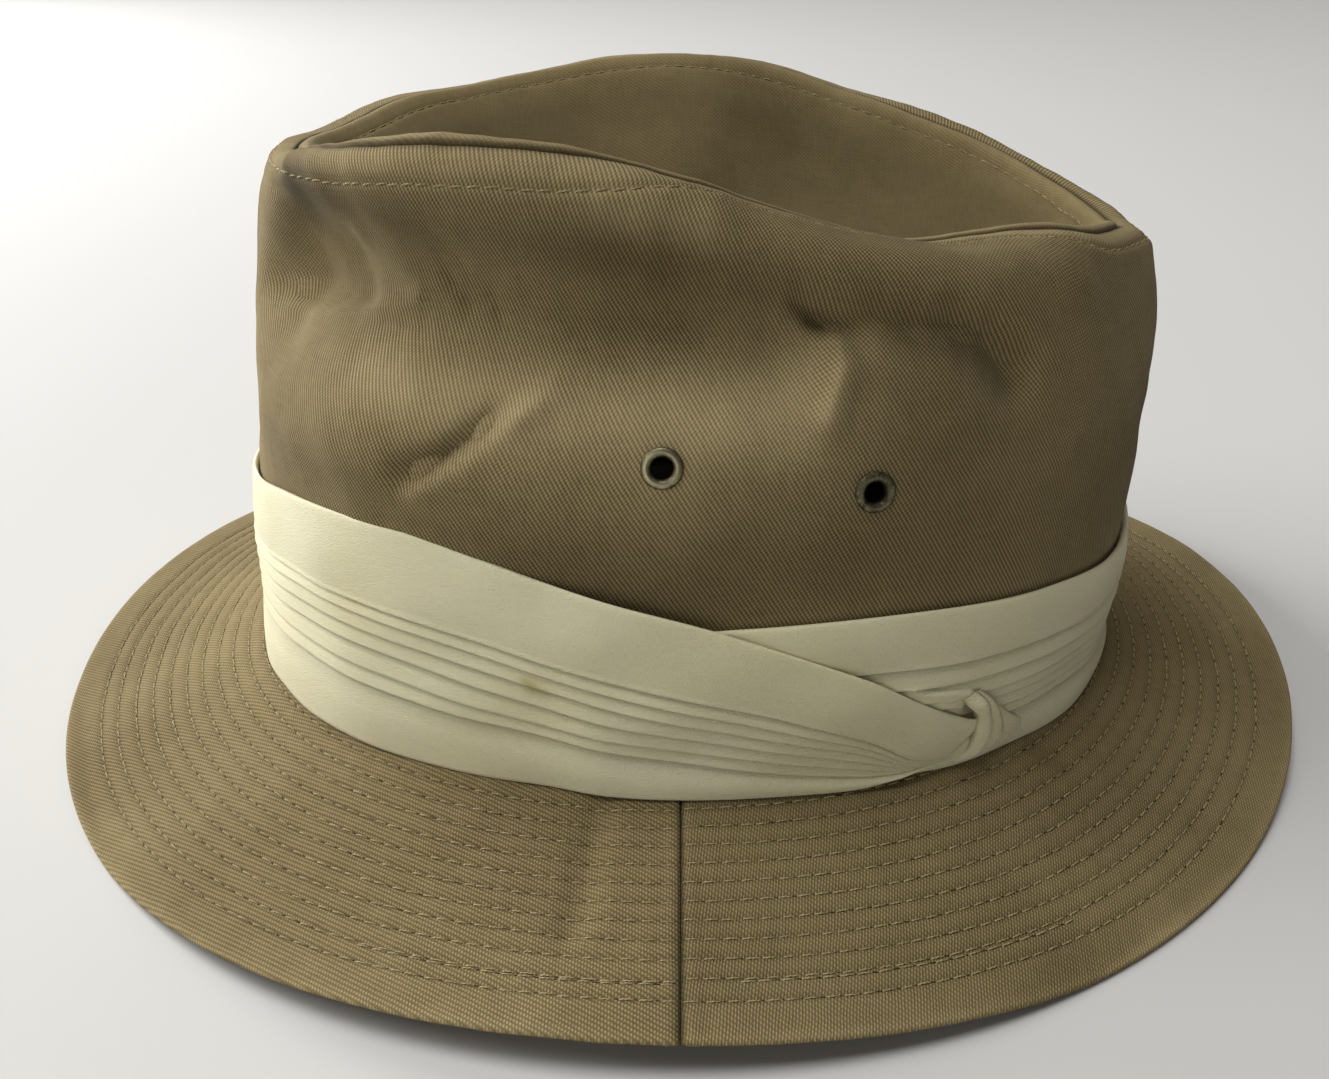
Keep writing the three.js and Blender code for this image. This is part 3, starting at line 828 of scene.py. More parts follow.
class FedoraCloth(bpy.types.PropertyGroup):
    """Colours of the twill, the thread and the crepe."""

    rib: FloatVectorProperty(
        name="Rib", description="Twill on the crest of its ribs", subtype="COLOR",
        size=3, min=0, max=1, default=linear(168, 152, 114),
    )
    body: FloatVectorProperty(
        name="Body", description="Twill between crest and gap", subtype="COLOR",
        size=3, min=0, max=1, default=linear(126, 111, 77),
    )
    gap: FloatVectorProperty(
        name="Gap", description="Twill deep between its ribs", subtype="COLOR",
        size=3, min=0, max=1, default=linear(66, 54, 32),
    )
    thread: FloatVectorProperty(
        name="Thread", description="Sewing thread", subtype="COLOR",
        size=3, min=0, max=1, default=linear(170, 154, 114),
    )
    crepe: FloatVectorProperty(
        name="Crepe", description="Clean crepe of the band", subtype="COLOR",
        size=3, min=0, max=1, default=linear(230, 226, 193),
    )
    crepe_aged: FloatVectorProperty(
        name="Aged crepe", description="Yellowed crepe", subtype="COLOR",
        size=3, min=0, max=1, default=linear(222, 213, 170),
    )
    crepe_stain: FloatVectorProperty(
        name="Stain", description="Small stains on the crepe", subtype="COLOR",
        size=3, min=0, max=1, default=linear(176, 166, 86),
    )
    # Colour of the painted shade in the crepe's folds.
    crepe_fold_shade: FloatVectorProperty(
        name="Fold_shade", description="Crepe deep in its folds", subtype="COLOR",
        size=3, min=0, max=1, default=linear(104, 92, 62),
    )


class FedoraSizes(bpy.types.PropertyGroup):
    """Sizes of the sewing and the pleats."""

    stitch_pitch: FloatProperty(
        name="Stitch pitch", description="From one stitch of the brim to the next",
        default=0.00365, min=0.002, max=0.008, unit="LENGTH", precision=5,
    )
    thread_width: FloatProperty(
        name="Thread", description="Thickness of the sewing thread",
        default=0.00036, min=0.0001, max=0.001, unit="LENGTH", precision=5,
    )
    quilting: FloatProperty(
        name="Quilting", description="How far each row of stitches sinks into the brim",
        default=0.00034, min=0, max=0.0006, unit="LENGTH", precision=5,
    )
    pleat: FloatProperty(
        name="Pleat", description="How far each pleat of the band stands over the next",
        default=0.0011, min=0, max=0.0015, unit="LENGTH", precision=5,
    )


class FedoraMetal(bpy.types.PropertyGroup):
    """Colours of the eyelets."""

    dark: FloatVectorProperty(
        name="Patina", description="Brass where it has darkened", subtype="COLOR",
        size=3, min=0, max=1, default=linear(58, 54, 38),
    )
    bright: FloatVectorProperty(
        name="Rubbed", description="Brass where it is rubbed", subtype="COLOR",
        size=3, min=0, max=1, default=linear(168, 160, 128),
    )


class FedoraStage(bpy.types.PropertyGroup):
    """Floor, light and lens."""

    floor: FloatVectorProperty(
        name="Floor", description="Colour of the floor", subtype="COLOR",
        size=3, min=0, max=1, default=(0.62, 0.61, 0.59),
    )
    key: FloatProperty(
        name="Key light", description="Power of the main light", default=42.0, min=0,
        unit="POWER",
    )
    fill: FloatProperty(
        name="Fill", description="Strength of the light from all round", default=0.06, min=0,
    )
    lens: FloatProperty(
        name="Lens", description="Focal length", default=37.92, min=10, max=200,
        unit="CAMERA",
    )


def cloth_colours(cloth):
    return tuple(cloth.gap), tuple(cloth.body), tuple(cloth.rib)


def crepe_colours(cloth):
    shades = cloth.crepe, cloth.crepe_aged, cloth.crepe_stain, cloth.crepe_fold_shade
    return tuple(tuple(shade) for shade in shades)


# ---------- crown ----------

SEAM_SUNK = 0.9                # depth of the ditch at the tip's seam, mm
TOPSTITCH = 6.2                # from the tip's seam to each row of topstitching
ALLOWANCE_LIFT = 0.5           # how far the folded allowances raise the cloth
WALL_MIDDLE = -12.0            # from the head oval to the middle of the wall, in plan
PUNCH_RADIUS = 2.6             # of the holes that the eyelets are set in, mm
PUNCH_DEPTH = 12
PUCKER, PUCKER_REACH = 0.3, 5.5  # how far the cloth sinks round each eyelet


def shoulder_of(away, radius=1.0):
    """0 far from a seam's edge, falling round a quarter circle to -1 at the edge."""
    t = np.clip(1 - away / radius, 0, 1)
    return np.sqrt(1 - t * t) - 1


def side_relief(down):
    """Height of the side's cloth at a distance below the tip's seam."""
    lift = ALLOWANCE_LIFT * (1 - eased((down - 6.6) / 4.5))
    groove = -0.5 * bump(down - TOPSTITCH, 0.7)
    return lift + groove + shoulder_of(down, 0.7) * (SEAM_SUNK + ALLOWANCE_LIFT)


def tip_relief(inside):
    """Height of the tip's cloth at a distance inside its seam."""
    roll = 1.0 * bump(inside - 2.2, 2.0)
    lift = 0.4 * (1 - eased((inside - 6.6) / 5.0))
    groove = -0.45 * bump(inside - TOPSTITCH, 0.7)
    return roll + lift + groove + shoulder_of(inside, 0.8) * (SEAM_SUNK + 0.8)


def crown_around(columns):
    """Columns round the crown, closest together on its left side."""
    t = np.linspace(0, 1, columns + 1)
    around = 360 * t - 18 * np.sin(2 * math.pi * t - math.radians(90)) - 18
    around[-1] = 360.0 + around[0]
    return around


def girth_at(around):
    """The way round the crown from its back, in mm."""
    turn = np.arange(0, 361, 2.0)
    steps = np.linalg.norm(np.diff(oval(turn, WALL_MIDDLE), axis=0), axis=-1)
    return np.interp(around, turn, np.concatenate([[0], np.cumsum(steps)]))


def side_surface(around, down, out=0.0):
    arc = np.maximum(CROWN.seam(around) - down, 0)
    relief = side_relief(down)
    pucker = 0.0
    for _, at, height in EYELETS:
        place = CROWN.points(at, CROWN.arc_at(at, height))
        away = np.linalg.norm(CROWN.points(around, arc) - place, axis=-1)
        pucker = pucker - PUCKER * bump(away, PUCKER_REACH)
    return crown_cloth(around, arc, relief + pucker + out)


def build_crown_side(context):
    cloth = context.scene.fedora_cloth
    around = crown_around(640)[:, None]
    fine = np.concatenate([np.linspace(0, 1.0, 6), np.linspace(1.4, 9.0, 18)])
    coarse = np.linspace(0, 1, 86)[1:]
    seam = CROWN.seam(around)
    outer_down = np.concatenate([np.broadcast_to(fine, (len(around), len(fine))),
                                 9.0 + (seam - 9.0) * coarse], 1)[:, ::-1]
    inner_down = seam * np.linspace(0, 1, 15)
    inner_down = np.maximum(inner_down, 0.2)
    outer, _ = side_surface(np.broadcast_to(around, outer_down.shape), outer_down)
    inner, _ = side_surface(np.broadcast_to(around, inner_down.shape), inner_down, -CROWN_CLOTH)
    points = np.concatenate([outer, inner, outer[:, :1]], 1)
    points[-1] = points[0]
    down = np.concatenate([outer_down, inner_down, outer_down[:, :1]], 1)
    girth = girth_at(around) + 0 * down
    cloth_map = np.stack([girth, -down], -1)
    rubbed = 0.35 * bump(down - 2.5, 3.0) + 0.12 * ripple(points, 60, 21)
    mesh = cloth_mesh("crown_side", points, cloth_map, {
        # rubbed wear below the tip's seam, with painted highlight on the bulge and the fold lips
        "wear": rubbed + touched(points, CROWN_PAINTED_LIGHT),
        # painted shade: in the folds and hollows, and along the ditch of the tip's seam
        "grime": np.maximum(touched(points, CROWN_PAINTED_SHADE), 0.8 * bump(down - 0.3, 0.7)),
    })
    weave = 0.28, 0.13, 0.02
    finish = twill_finish("twill_side", cloth_colours(cloth), 0.0, CROWN_YARNS, weave)
    piece = finished_piece("crown_side_cloth", mesh, finish, "crown_side")
    pierce_for_eyelets(piece)
    return piece


def eyelet_seat(around, height):
    """The middle of an eyelet on the cloth and its axis out of the crown."""
    arc = CROWN.arc_at(around, height)
    spots = [(around + a, height + h) for a, h in ((0, 0), (3, 0), (-3, 0), (0, 4), (0, -4))]
    points = np.array([crown_cloth(a, CROWN.arc_at(a, h))[0] for a, h in spots])
    normal = unit(np.cross(points[2] - points[1], points[3] - points[4]))
    plain = CROWN.normals(around, arc)
    normal = normal if normal @ plain > 0 else -normal
    return points[0] + normal * -0.1, unit(normal * 0.5 + unit(plain) * 0.5)


def along_axis(place, axis):
    """The turn and move that take +Z at the origin to a seat on the crown, in metres."""
    turn = Vector((0, 0, 1)).rotation_difference(Vector(axis)).to_matrix().to_4x4()
    return Matrix.Translation(Vector(in_place(place))) @ turn


def pierce_for_eyelets(piece):
    """Cuts the round holes that the eyelets are set in."""
    form = bmesh.new()
    radius = PUNCH_RADIUS * METRES
    for _, around, height in EYELETS:
        bmesh.ops.create_cone(
            form, cap_ends=True, segments=32, radius1=radius, radius2=radius,
            depth=PUNCH_DEPTH * METRES, matrix=along_axis(*eyelet_seat(around, height)),
        )
    mesh = bpy.data.meshes.new("punch")
    form.to_mesh(mesh)
    form.free()
    punch = bpy.data.objects.new("punch", mesh)
    bpy.context.scene.collection.objects.link(punch)
    cut = piece.modifiers.new("holes", "BOOLEAN")
    cut.operation, cut.solver, cut.object = "DIFFERENCE", "EXACT", punch
    shown = piece.evaluated_get(bpy.context.evaluated_depsgraph_get())
    pierced = bpy.data.meshes.new_from_object(shown)
    if len(pierced.polygons) < len(piece.data.polygons) // 2:
        raise RuntimeError("cutting the eyelet holes left too little of the crown")
    piece.modifiers.clear()
    piece.data = pierced
    bpy.data.objects.remove(punch)


def tip_surface(around, inside, out=0.0):
    arc = np.minimum(CROWN.seam(around) + inside, CROWN.end(around))
    fade = eased((CROWN.end(around) - arc) / 25)
    return crown_cloth(around, arc, tip_relief(inside) * np.where(inside < 20, 1, fade) + out)


def build_crown_tip(context):
    cloth = context.scene.fedora_cloth
    around = crown_around(480)[:, None]
    fine = np.concatenate([np.linspace(0, 1.2, 7), np.linspace(1.7, 10.0, 18)])
    length = CROWN.end(around) - CROWN.seam(around)
    coarse = np.linspace(0, 1, 46)[1:]
    outer_in = np.concatenate([np.broadcast_to(fine, (len(around), len(fine))),
                               10 + (length - 10) * coarse], 1)
    inner_in = length * np.linspace(1, 0, 15)
    outer, _ = tip_surface(np.broadcast_to(around, outer_in.shape), outer_in)
    inner, _ = tip_surface(np.broadcast_to(around, inner_in.shape), inner_in, -CROWN_CLOTH)
    outer[:, -1] = outer[0, -1]
    inner[:, 0] = inner[0, 0]
    outer[-1], inner[-1] = outer[0], inner[0]
    points = np.concatenate([outer, inner, outer[:, :1]], 1)
    inside = np.concatenate([outer_in, inner_in, outer_in[:, :1]], 1)
    # the dish of the tip opened flat: the same direction, and the length of the cloth
    out = length - inside
    angle = np.radians(around)
    cloth_map = np.stack([out * np.cos(angle), out * np.sin(angle)], -1)
    rubbed = 0.45 * bump(inside - 2.0, 2.2) - 0.1 + 0.1 * ripple(points, 60, 22)
    # Painted shade: darker towards the middle of the dent, and along the ditch of the seam.
    painted_tip_shade = np.maximum(0.42 * eased((inside - 4) / 14), 0.8 * bump(inside - 0.3, 0.6))
    mesh = cloth_mesh("crown_tip", points, cloth_map, {"wear": rubbed, "grime": painted_tip_shade})
    weave = 0.09, 0.05, 0.05
    finish = twill_finish("twill_tip", cloth_colours(cloth), 15.0, CROWN_YARNS, weave, 0.5)
    return finished_piece("crown_tip_cloth", mesh, finish, "crown_tip")


# ---------- brim halves ----------

HEM_ROUND = 0.8                # radius of the brim's rolled edge
END_ROLL = 1.6                 # length of the turned-in end of each half, at the side seams
ROW_EDGE = 8.5                 # from the fabric edge to the first row of stitches
ROW_NEXT = 12.9                # to the row inside it
ROW_FIRST = 17.0               # to the first of the evenly spaced rows
ROW_PITCH = 4.3
ROW_COUNT = 9
ROW_DRIFT = 0.9                # how far the rows move in on their way round
HALF_DEGREE = 2.35             # length of the brim in a degree, near its edge


def spiral(around):
    """0 at the left side seam, growing to 1 on the way round by the front."""
    return ((around - SIDE_SEAM) % 360) / 360


def row_distances(around):
    """Distances of the rows of stitches from the brim's edge, at places around."""
    drift = spiral(around) * ROW_DRIFT
    rows = [ROW_EDGE + 0 * around, ROW_NEXT + drift - 0.5]
    rows += [ROW_FIRST + k * ROW_PITCH + drift * 0.6 for k in range(ROW_COUNT)]
    return rows


def quilt(around, across, depth):
    """How far the rows of stitches sink the brim's cloth."""
    edge = brim_width(around) - across
    sunk = 0.0
    for row in row_distances(around):
        sunk = np.maximum(sunk, bump(edge - row, 0.75))
    return sunk * depth


# Creases and dents of the brim: around, across, to around, to across, reach, depth.
BRIM_FOLDS = (
    (99.4, 5, 99.9, 34, 3.4, 1.0),
    (96.6, 8, 97.0, 34, 2.6, -0.2),
    (136, 1, 128, 1.5, 2.2, 0.5),
    (46, 3, 44, 9, 3.0, 0.8),
)


def brim_dent(points):
    depth = 0.0
    for a, x, b, y, reach, deep in BRIM_FOLDS:
        t = np.linspace(0, 1, 6)
        marks = brim_top(lerp(a, b, t), lerp(x, y, t))
        depth = depth + deep * bump(distance_to(points, marks), reach)
    return depth


def brim_cloth(around, across, side, ends=1e3, depth=0.34):
    """A place on the brim's cloth. side: 0 on its upper face to 1 on its underside."""
    half = BRIM_CLOTH / 2
    pinch = np.clip(1 - ends / END_ROLL, 0, 1)
    full = np.sqrt(np.maximum(1 - pinch**2, 0)) * (1 + 0.22 * bump(ends - 2.2, 1.0))
    sunk = quilt(around, across, depth)
    below = half - (half - sunk) * full * (1 - 2 * side)
    point, down = brim_skin(around, across, below)
    soft = 0.10 * ripple(point, 23, 31) + 0.03 * ripple(point, 9, 32)
    dent = brim_dent(point)
    lift = point[..., 2] > 3.5
    point = point + down * ((dent + soft) * eased((point[..., 2] - 2.2) / 3.0) * lift)[..., None]
    return point, down


def build_brim_half(context, name, start, warp_turn, weave, seed):
    cloth, sizes = context.scene.fedora_cloth, context.scene.fedora_sizes
    depth = sizes.quilting / METRES
    near = np.array([0.0, 0.06, 0.2, 0.42, 0.72, 1.1, 1.6])
    ends = near / HALF_DEGREE
    around = np.concatenate([ends, np.linspace(1.0, 179.0, 430), 180 - ends[::-1]]) + start
    around = around[:, None]
    past = np.minimum(around - start, start + 180 - around) * HALF_DEGREE
    inside = -BAND_BUILD - CROWN_CLOTH
    width = brim_width(around)
    top = np.linspace(0, 1, 84)
    turn = np.linspace(0, math.pi, 11)[1:-1]
    reach = width - HEM_ROUND
    top_across = inside + (reach - inside) * top
    hem_across = reach + HEM_ROUND * np.sin(turn)
    hem_side = (1 - np.cos(turn)) / 2 + 0 * width
    notch = 0.16 * bump(turn - 2.2, 0.16)
    hem_across = hem_across - notch * eased(past / 1.2)
    under_across = top_across[:, ::-1]
    across = np.concatenate([top_across, hem_across, under_across, top_across[:, :1]], 1)
    side = np.concatenate([0 * top_across, hem_side, 1 + 0 * under_across, 0 * width], 1)
    around_all = np.broadcast_to(around, across.shape)
    points, _ = brim_cloth(around_all, across, side, np.broadcast_to(past, across.shape), depth)
    flat = oval(around_all, across)
    cloth_map = np.where((side > 0.5)[..., None], flat * [1, -1], flat)
    edge = width - across
    rubbed = 0.25 * bump(edge, 1.6) + 0.1 * ripple(points, 70, seed)
    # Painted shade along the grooves of the rows of stitches.
    rubbed = rubbed - 0.22 * quilt(around_all, across, 1.0)
    # Painted shade: a dark line along the side seams, where the two halves meet.
    painted_seam_shade = np.broadcast_to(0.95 * np.exp(-((past / 0.75) ** 2)), across.shape)
    mesh = cloth_mesh(name, points, cloth_map, {"wear": rubbed, "grime": painted_seam_shade})
    finish = twill_finish("twill_" + name, cloth_colours(cloth), warp_turn, BRIM_YARNS, weave)
    return finished_piece(name + "_cloth", mesh, finish, name)


# ---------- stitches ----------

# A thread's five places: height over the cloth in mm, and share of the thread's length.
STITCH_RISE = np.array([-0.28, 0.10, 0.20, 0.10, -0.28])
STITCH_SPAN = np.array([0.0, 0.16, 0.5, 0.84, 1.0])
HOLE_SHADE_GAP = 1.6                 # ends of threads further apart than this have no painted hole shade between
CROWN_PITCH = 3.3              # from one stitch of the crown to the next, mm


def along_row(around, surface, pitch, length, seed, slant=0.03):
    """Stitches along a row. surface gives places and normals for places around and a shift."""
    random = np.random.default_rng(seed)
    line, _ = surface(around, 0.0)
    steps = np.linalg.norm(np.diff(line, axis=0), axis=-1)
    travelled = np.concatenate([[0], np.cumsum(steps)])
    count = int(travelled[-1] / pitch)
    start = (np.arange(count) + 0.1) * travelled[-1] / count
    start = start + random.normal(0, 0.06, count) * pitch
    span = length * random.uniform(0.92, 1.06, count)
    at = start[:, None] + span[:, None] * STITCH_SPAN
    shift = (STITCH_SPAN - 0.5) * slant * length + random.normal(0, 0.05, (count, 1))
    places = np.interp(at, travelled, around)
    point, normal = surface(places, shift)
    point = point + normal * (STITCH_RISE + random.normal(0, 0.02, (count, 1)))[..., None]
    return np.concatenate([point, normal], -1)


def painted_hole_shade(runs):
    """Painted shade for the needle holes between the stitches, as dark threads that span each gap.
    """
    gaps = []
    for run in runs:
        ends, starts = run[:-1, -1], run[1:, 0]
        close = np.linalg.norm((starts - ends)[:, :3], axis=-1) < HOLE_SHADE_GAP
        share = np.linspace(-0.1, 1.1, 5)[None, :, None]
        gap = lerp(ends[close][:, None], starts[close][:, None], share)
        gap[..., :3] += unit(gap[..., 3:]) * (0.03 - STITCH_RISE[0])
        gaps.append(gap)
    return np.concatenate(gaps)


def sew(name, runs, thick, cloth, shade_holes=True):
    """The threads of the given runs of stitches, and painted shade for the needle holes between
    them.
    """
    wide = np.array([0.5, 0.95, 1.0, 0.95, 0.5]) * thick
    mesh = thread_mesh(name, np.concatenate(runs), wide, wide * 0.9)
    finish = thread_finish("thread_" + name, tuple(cloth.thread), tuple(cloth.body))
    finished_piece(name, mesh, finish, None)
    if not shade_holes:
        return
    # Painted shade: dark pieces over the needle holes, coloured from 30% of the twill's gap
    # colour.
    wide = np.array([0.1, 0.17, 0.2, 0.17, 0.1])
    mesh = thread_mesh(name + "_holes", painted_hole_shade(runs), wide, wide * 0.3, 4)
    finish = thread_finish("pit_" + name, tuple(cloth.gap), tuple(c * 0.3 for c in cloth.gap))
    finished_piece(name + "_holes", mesh, finish, None)


def build_brim_stitches(context, name, under):
    cloth, sizes = context.scene.fedora_cloth, context.scene.fedora_sizes
    pitch = sizes.stitch_pitch / METRES
    depth = sizes.quilting / METRES
    thick = sizes.thread_width / METRES / 2
    around = np.arange(SIDE_SEAM + 0.2, SIDE_SEAM + 360, 0.1)
    rows = row_distances(around)
    runs = []

    def surface_for(edges, start):
        def surface(at, shift):
            edge = np.interp(at, start, edges)
            across = brim_width(at) - edge + shift
            point, down = brim_cloth(at, across, 1.0 if under else 0.0, depth=depth)
            return point, down if under else -down
        return surface

    for k, edges in enumerate(rows):
        runs.append(along_row(around, surface_for(edges, around), pitch, pitch * 0.84, 100 + k))
    doubled = np.arange(SIDE_SEAM + 0.3, SIDE_SEAM + 26, 0.1)
    edges = ROW_NEXT - 1.1 + 0 * doubled
    runs.append(along_row(doubled, surface_for(edges, doubled), pitch, pitch * 0.8, 131))
    back = np.arange(SIDE_SEAM - 34, SIDE_SEAM - 4, 0.1)
    edges = lerp(ROW_NEXT - 0.9, ROW_NEXT - 0.3, (back - back[0]) / 30)
    runs.append(along_row(back, surface_for(edges, back), pitch, pitch * 0.84, 132))
    sew(name, runs, thick, cloth)


def build_crown_stitches(context):
    cloth, sizes = context.scene.fedora_cloth, context.scene.fedora_sizes
    thick = sizes.thread_width / METRES / 2
    around = np.arange(0, 360.01, 0.1)

    def on_side(at, shift):
        return side_surface(at, TOPSTITCH + 0.15 + shift)

    def on_tip(at, shift):
        return tip_surface(at, TOPSTITCH + shift)

    runs = [along_row(around, on_side, CROWN_PITCH, 2.9, 141, 0.12)]
    runs.append(along_row(around, on_tip, CROWN_PITCH, 2.8, 142, 0.06))
    sew("crown_stitches", runs, thick, cloth, shade_holes=False)


# ---------- band ----------

# turn: bottom, top, lift off the layer below. The band runs on through falling turns.
BAND_COURSE = (
    (-96, 0, 36, 0), (-84, 0, 37.9, 0), (-65, 0, 39.2, 0), (-47, 0, 37.1, 0),
    (-28, 0, 33.4, 0), (0, 0, 32.5, 0), (45, 0, 35, 0), (90, 0, 38, 0), (145, 0, 40, 0),
    (180, 0, 43, 0), (200, 0, 46.7, 0), (219, 0, 52.5, 0), (238, 0, 53.6, 0),
    (248, 0, 50.4, 0), (254, 0, 47.5, 0.4), (261, 0, 44.4, 2.0), (274, 0, 37.7, 2.0),
    (289, 0.2, 26.3, 2.0), (296, 1.4, 18.5, 2.0), (302, 2.4, 12.5, 2.0), (305, 2.8, 10.6, 2.0),
)
# turn: the six pleat lines as shares of the band's height, from the top one down
PLEAT_LINES = (
    (-96, 0.68, 0.56, 0.46, 0.40, 0.32, 0.25),
    (-28, 0.68, 0.56, 0.46, 0.40, 0.32, 0.25),
    (90, 0.68, 0.58, 0.50, 0.42, 0.35, 0.28),
    (218, 0.67, 0.62, 0.55, 0.475, 0.38, 0.31),
    (238, 0.657, 0.607, 0.537, 0.463, 0.36, 0.287),
    (255, 0.63, 0.57, 0.50, 0.41, 0.32, 0.265),
    (265, 0.605, 0.54, 0.465, 0.38, 0.295, 0.23),
    (276, 0.575, 0.50, 0.42, 0.34, 0.26, 0.185),
    (283, 0.54, 0.46, 0.385, 0.30, 0.22, 0.14),
    (292, 0.42, 0.36, 0.30, 0.23, 0.16, 0.09),
    (299, 0.24, 0.20, 0.165, 0.125, 0.085, 0.04),
    (305, 0.10, 0.085, 0.07, 0.05, 0.035, 0.02),
)
BAND_CLEAR = 0.45              # between the crown's wall and the band
BAND_BODY = 1.0                # thickness of the band under its pleats
BAND_DEGREE = 1.62             # length of the band in a degree
WRAP_END = -40                 # turn up to which the first layer shows beside the knot
SLANT_FROM, SLANT_OVER = 286, 18  # turns over which the end of the band slants in
FLARE = 2.0                    # how far the band's lowest strip stands out at its foot


def wall_point(around, height, out):
    """A place out from the crown's wall, at a height above the brim, and its normal."""
    arc = CROWN.arc_at(around, brim_foot(around) + GAP + height)
    point, normal = CROWN.plain(around, arc)
    return point + normal * np.asarray(out)[..., None], normal


def band_rows(pleat):
    """The band's outer face from its top fold down: strip, share of it, height out, painted shade.
    """
    rows = [(0, 0.0, -0.55, 0.2), (0, 0.006, -0.15, 0), (0, 0.018, 0.12, -0.3), (0, 0.035, 0.2, 0)]
    for t in np.linspace(0.07, 0.96, 20):
        rows.append((0, t, 0.2 + 0.45 * math.sin(math.pi * t) + 0.3 * t, 0))
    rows += [(0, 0.985, pleat * 0.8, 0), (0, 1.0, pleat * 0.5, 0.3)]
    # Each strip starts in painted shade just under the edge of the pleat above it.
    for strip in range(1, 6):
        rows += [(strip, -0.05, -0.2, 1.0), (strip, 0.06, -0.15, 0.8), (strip, 0.2, 0.1, 0.25)]
        for t in np.linspace(0.35, 0.88, 5):
            rows.append((strip, t, pleat * (0.1 + 0.85 * t**0.7), 0))
        rows += [(strip, 0.96, pleat * 0.9, -0.15), (strip, 1.0, pleat * 0.5, 0.3)]
    # A broad painted shade below the last pleat.
    rows += [(6, -0.015, -0.2, 1.0), (6, 0.03, -0.15, 0.7)]
    for t in np.linspace(0.08, 0.94, 18):
        bulge = 0.9 * math.sin(math.pi * t**0.9) + FLARE * t
        rows.append((6, t, -0.1 + bulge, 0.35 * max(0, 1 - t / 0.35)))
    rows += [(6, 0.985, FLARE - 0.1, 0), (6, 1.0, FLARE - 0.5, 0.3)]
    return rows


# Thin ridges of the band, drawn in under the knot: around, height, to around, to height.
DRAWN_RIDGES = (
    (65.5, 22.0, 58.0, 19.2), (63.8, 20.6, 57.6, 18.2), (62.4, 19.2, 58.0, 16.9),
    (61.0, 17.6, 58.8, 15.6),
)
POCKET = 56.6, 13.8            # around and height of the pocket behind the knot's loop, sunk and darkened with painted shade


def drawn_in(around, height):
    """Height of the drawn ridges at a place on the band."""
    total = 0.0
    for a, low, b, high in DRAWN_RIDGES:
        along = np.clip((a - around) / (a - b), 0, 1)
        away = np.hypot(height - lerp(low, high, along), (around - lerp(a, b, along)) * 1.6)
        total = total + 0.7 * bump(away, 0.6)
    return total


def build_band(context):
    cloth, sizes = context.scene.fedora_cloth, context.scene.fedora_sizes
    rows = band_rows(sizes.pleat / METRES)
    turn = np.linspace(BAND_COURSE[0][0], BAND_COURSE[-1][0], 640)[:, None]
    bottom, top, lift = Curve(BAND_COURSE)(turn[:, 0])[..., None]
    shares = Curve(PLEAT_LINES)(turn[:, 0])
    lines = np.concatenate([np.ones((1, len(turn))), shares, np.zeros((1, len(turn)))])
    share = np.stack([lerp(lines[row[0]], lines[row[0] + 1], row[1]) for row in rows], 1)
    spread = (lines[1] - lines[6])[:, None]
    calm = eased((spread - 0.05) / 0.2) * 0.75 + 0.25
    out = np.array([row[2] for row in rows])[None, :] * calm
    crease = np.array([row[3] for row in rows])[None, :] + 0 * out
    back = np.linspace(0.02, 0.98, 5) + 0 * turn
    share = np.concatenate([share, back, share[:, :1]], 1)
    out = np.concatenate([out, -BAND_BODY + 0 * back, out[:, :1]], 1)
    crease = np.concatenate([crease, 0 * back, crease[:, :1]], 1)
    at = -turn + 5.0 * eased((turn - SLANT_FROM) / SLANT_OVER) * (1 - share)
    height = lerp(bottom, top, share)
    wrinkle = 0.22 * ripple(np.stack([at * 1.6, height * 2.0, 0 * at], -1), 34, 41)
    wrap = turn < WRAP_END
    pocket = np.hypot((at - POCKET[0]) * 1.6, height - POCKET[1])
    wrinkle = wrinkle + np.where(wrap, drawn_in(at, height) - 0.8 * bump(pocket, 2.2), 0)
    # Painted shade in the pocket behind the knot's loop.
    crease = crease + np.where(wrap, 1.6 * bump(pocket, 2.6), 0)
    out = out + np.where(out > -BAND_BODY / 2, wrinkle, 0)
    points, _ = wall_point(at, height, BAND_CLEAR + BAND_BODY + lift + out)
    ring = np.concatenate([points[:1].mean(1, keepdims=True) + 0 * points[:1], points,
                           points[-1:].mean(1, keepdims=True) + 0 * points[-1:]])
    length = np.concatenate([turn[:1], turn, turn[-1:]]) * BAND_DEGREE
    rise = np.concatenate([height[:1], height, height[-1:]])
    crease = np.concatenate([crease[:1], crease, crease[-1:]])
    shading = {
        "wear": 0.3 * ripple(ring, 50, 42),
        "stain": stain_layer(ring),
        "crease": np.clip(crease, -0.4, 1),
    }
    mesh = cloth_mesh("band", ring, np.stack([length + 0 * rise, rise], -1), shading)
    finish = crepe_finish("crepe_band", crepe_colours(cloth))
    return finished_piece("band_crepe", mesh, finish, "band")


# Small stains of the band: around, height above the brim, size, strength.
BAND_STAINS = ((106.8, 24, 1.7, 0.8), (105.4, 23, 1.1, 0.6), (107.6, 25.5, 0.9, 0.5))


def stain_layer(points):
    total = 0.0
    for around, height, size, strength in BAND_STAINS:
        place, _ = wall_point(np.array(float(around)), height, 2.5)
        total = total + strength * bump(np.linalg.norm(points - place, axis=-1), size)
    return total


# ---------- knot ----------

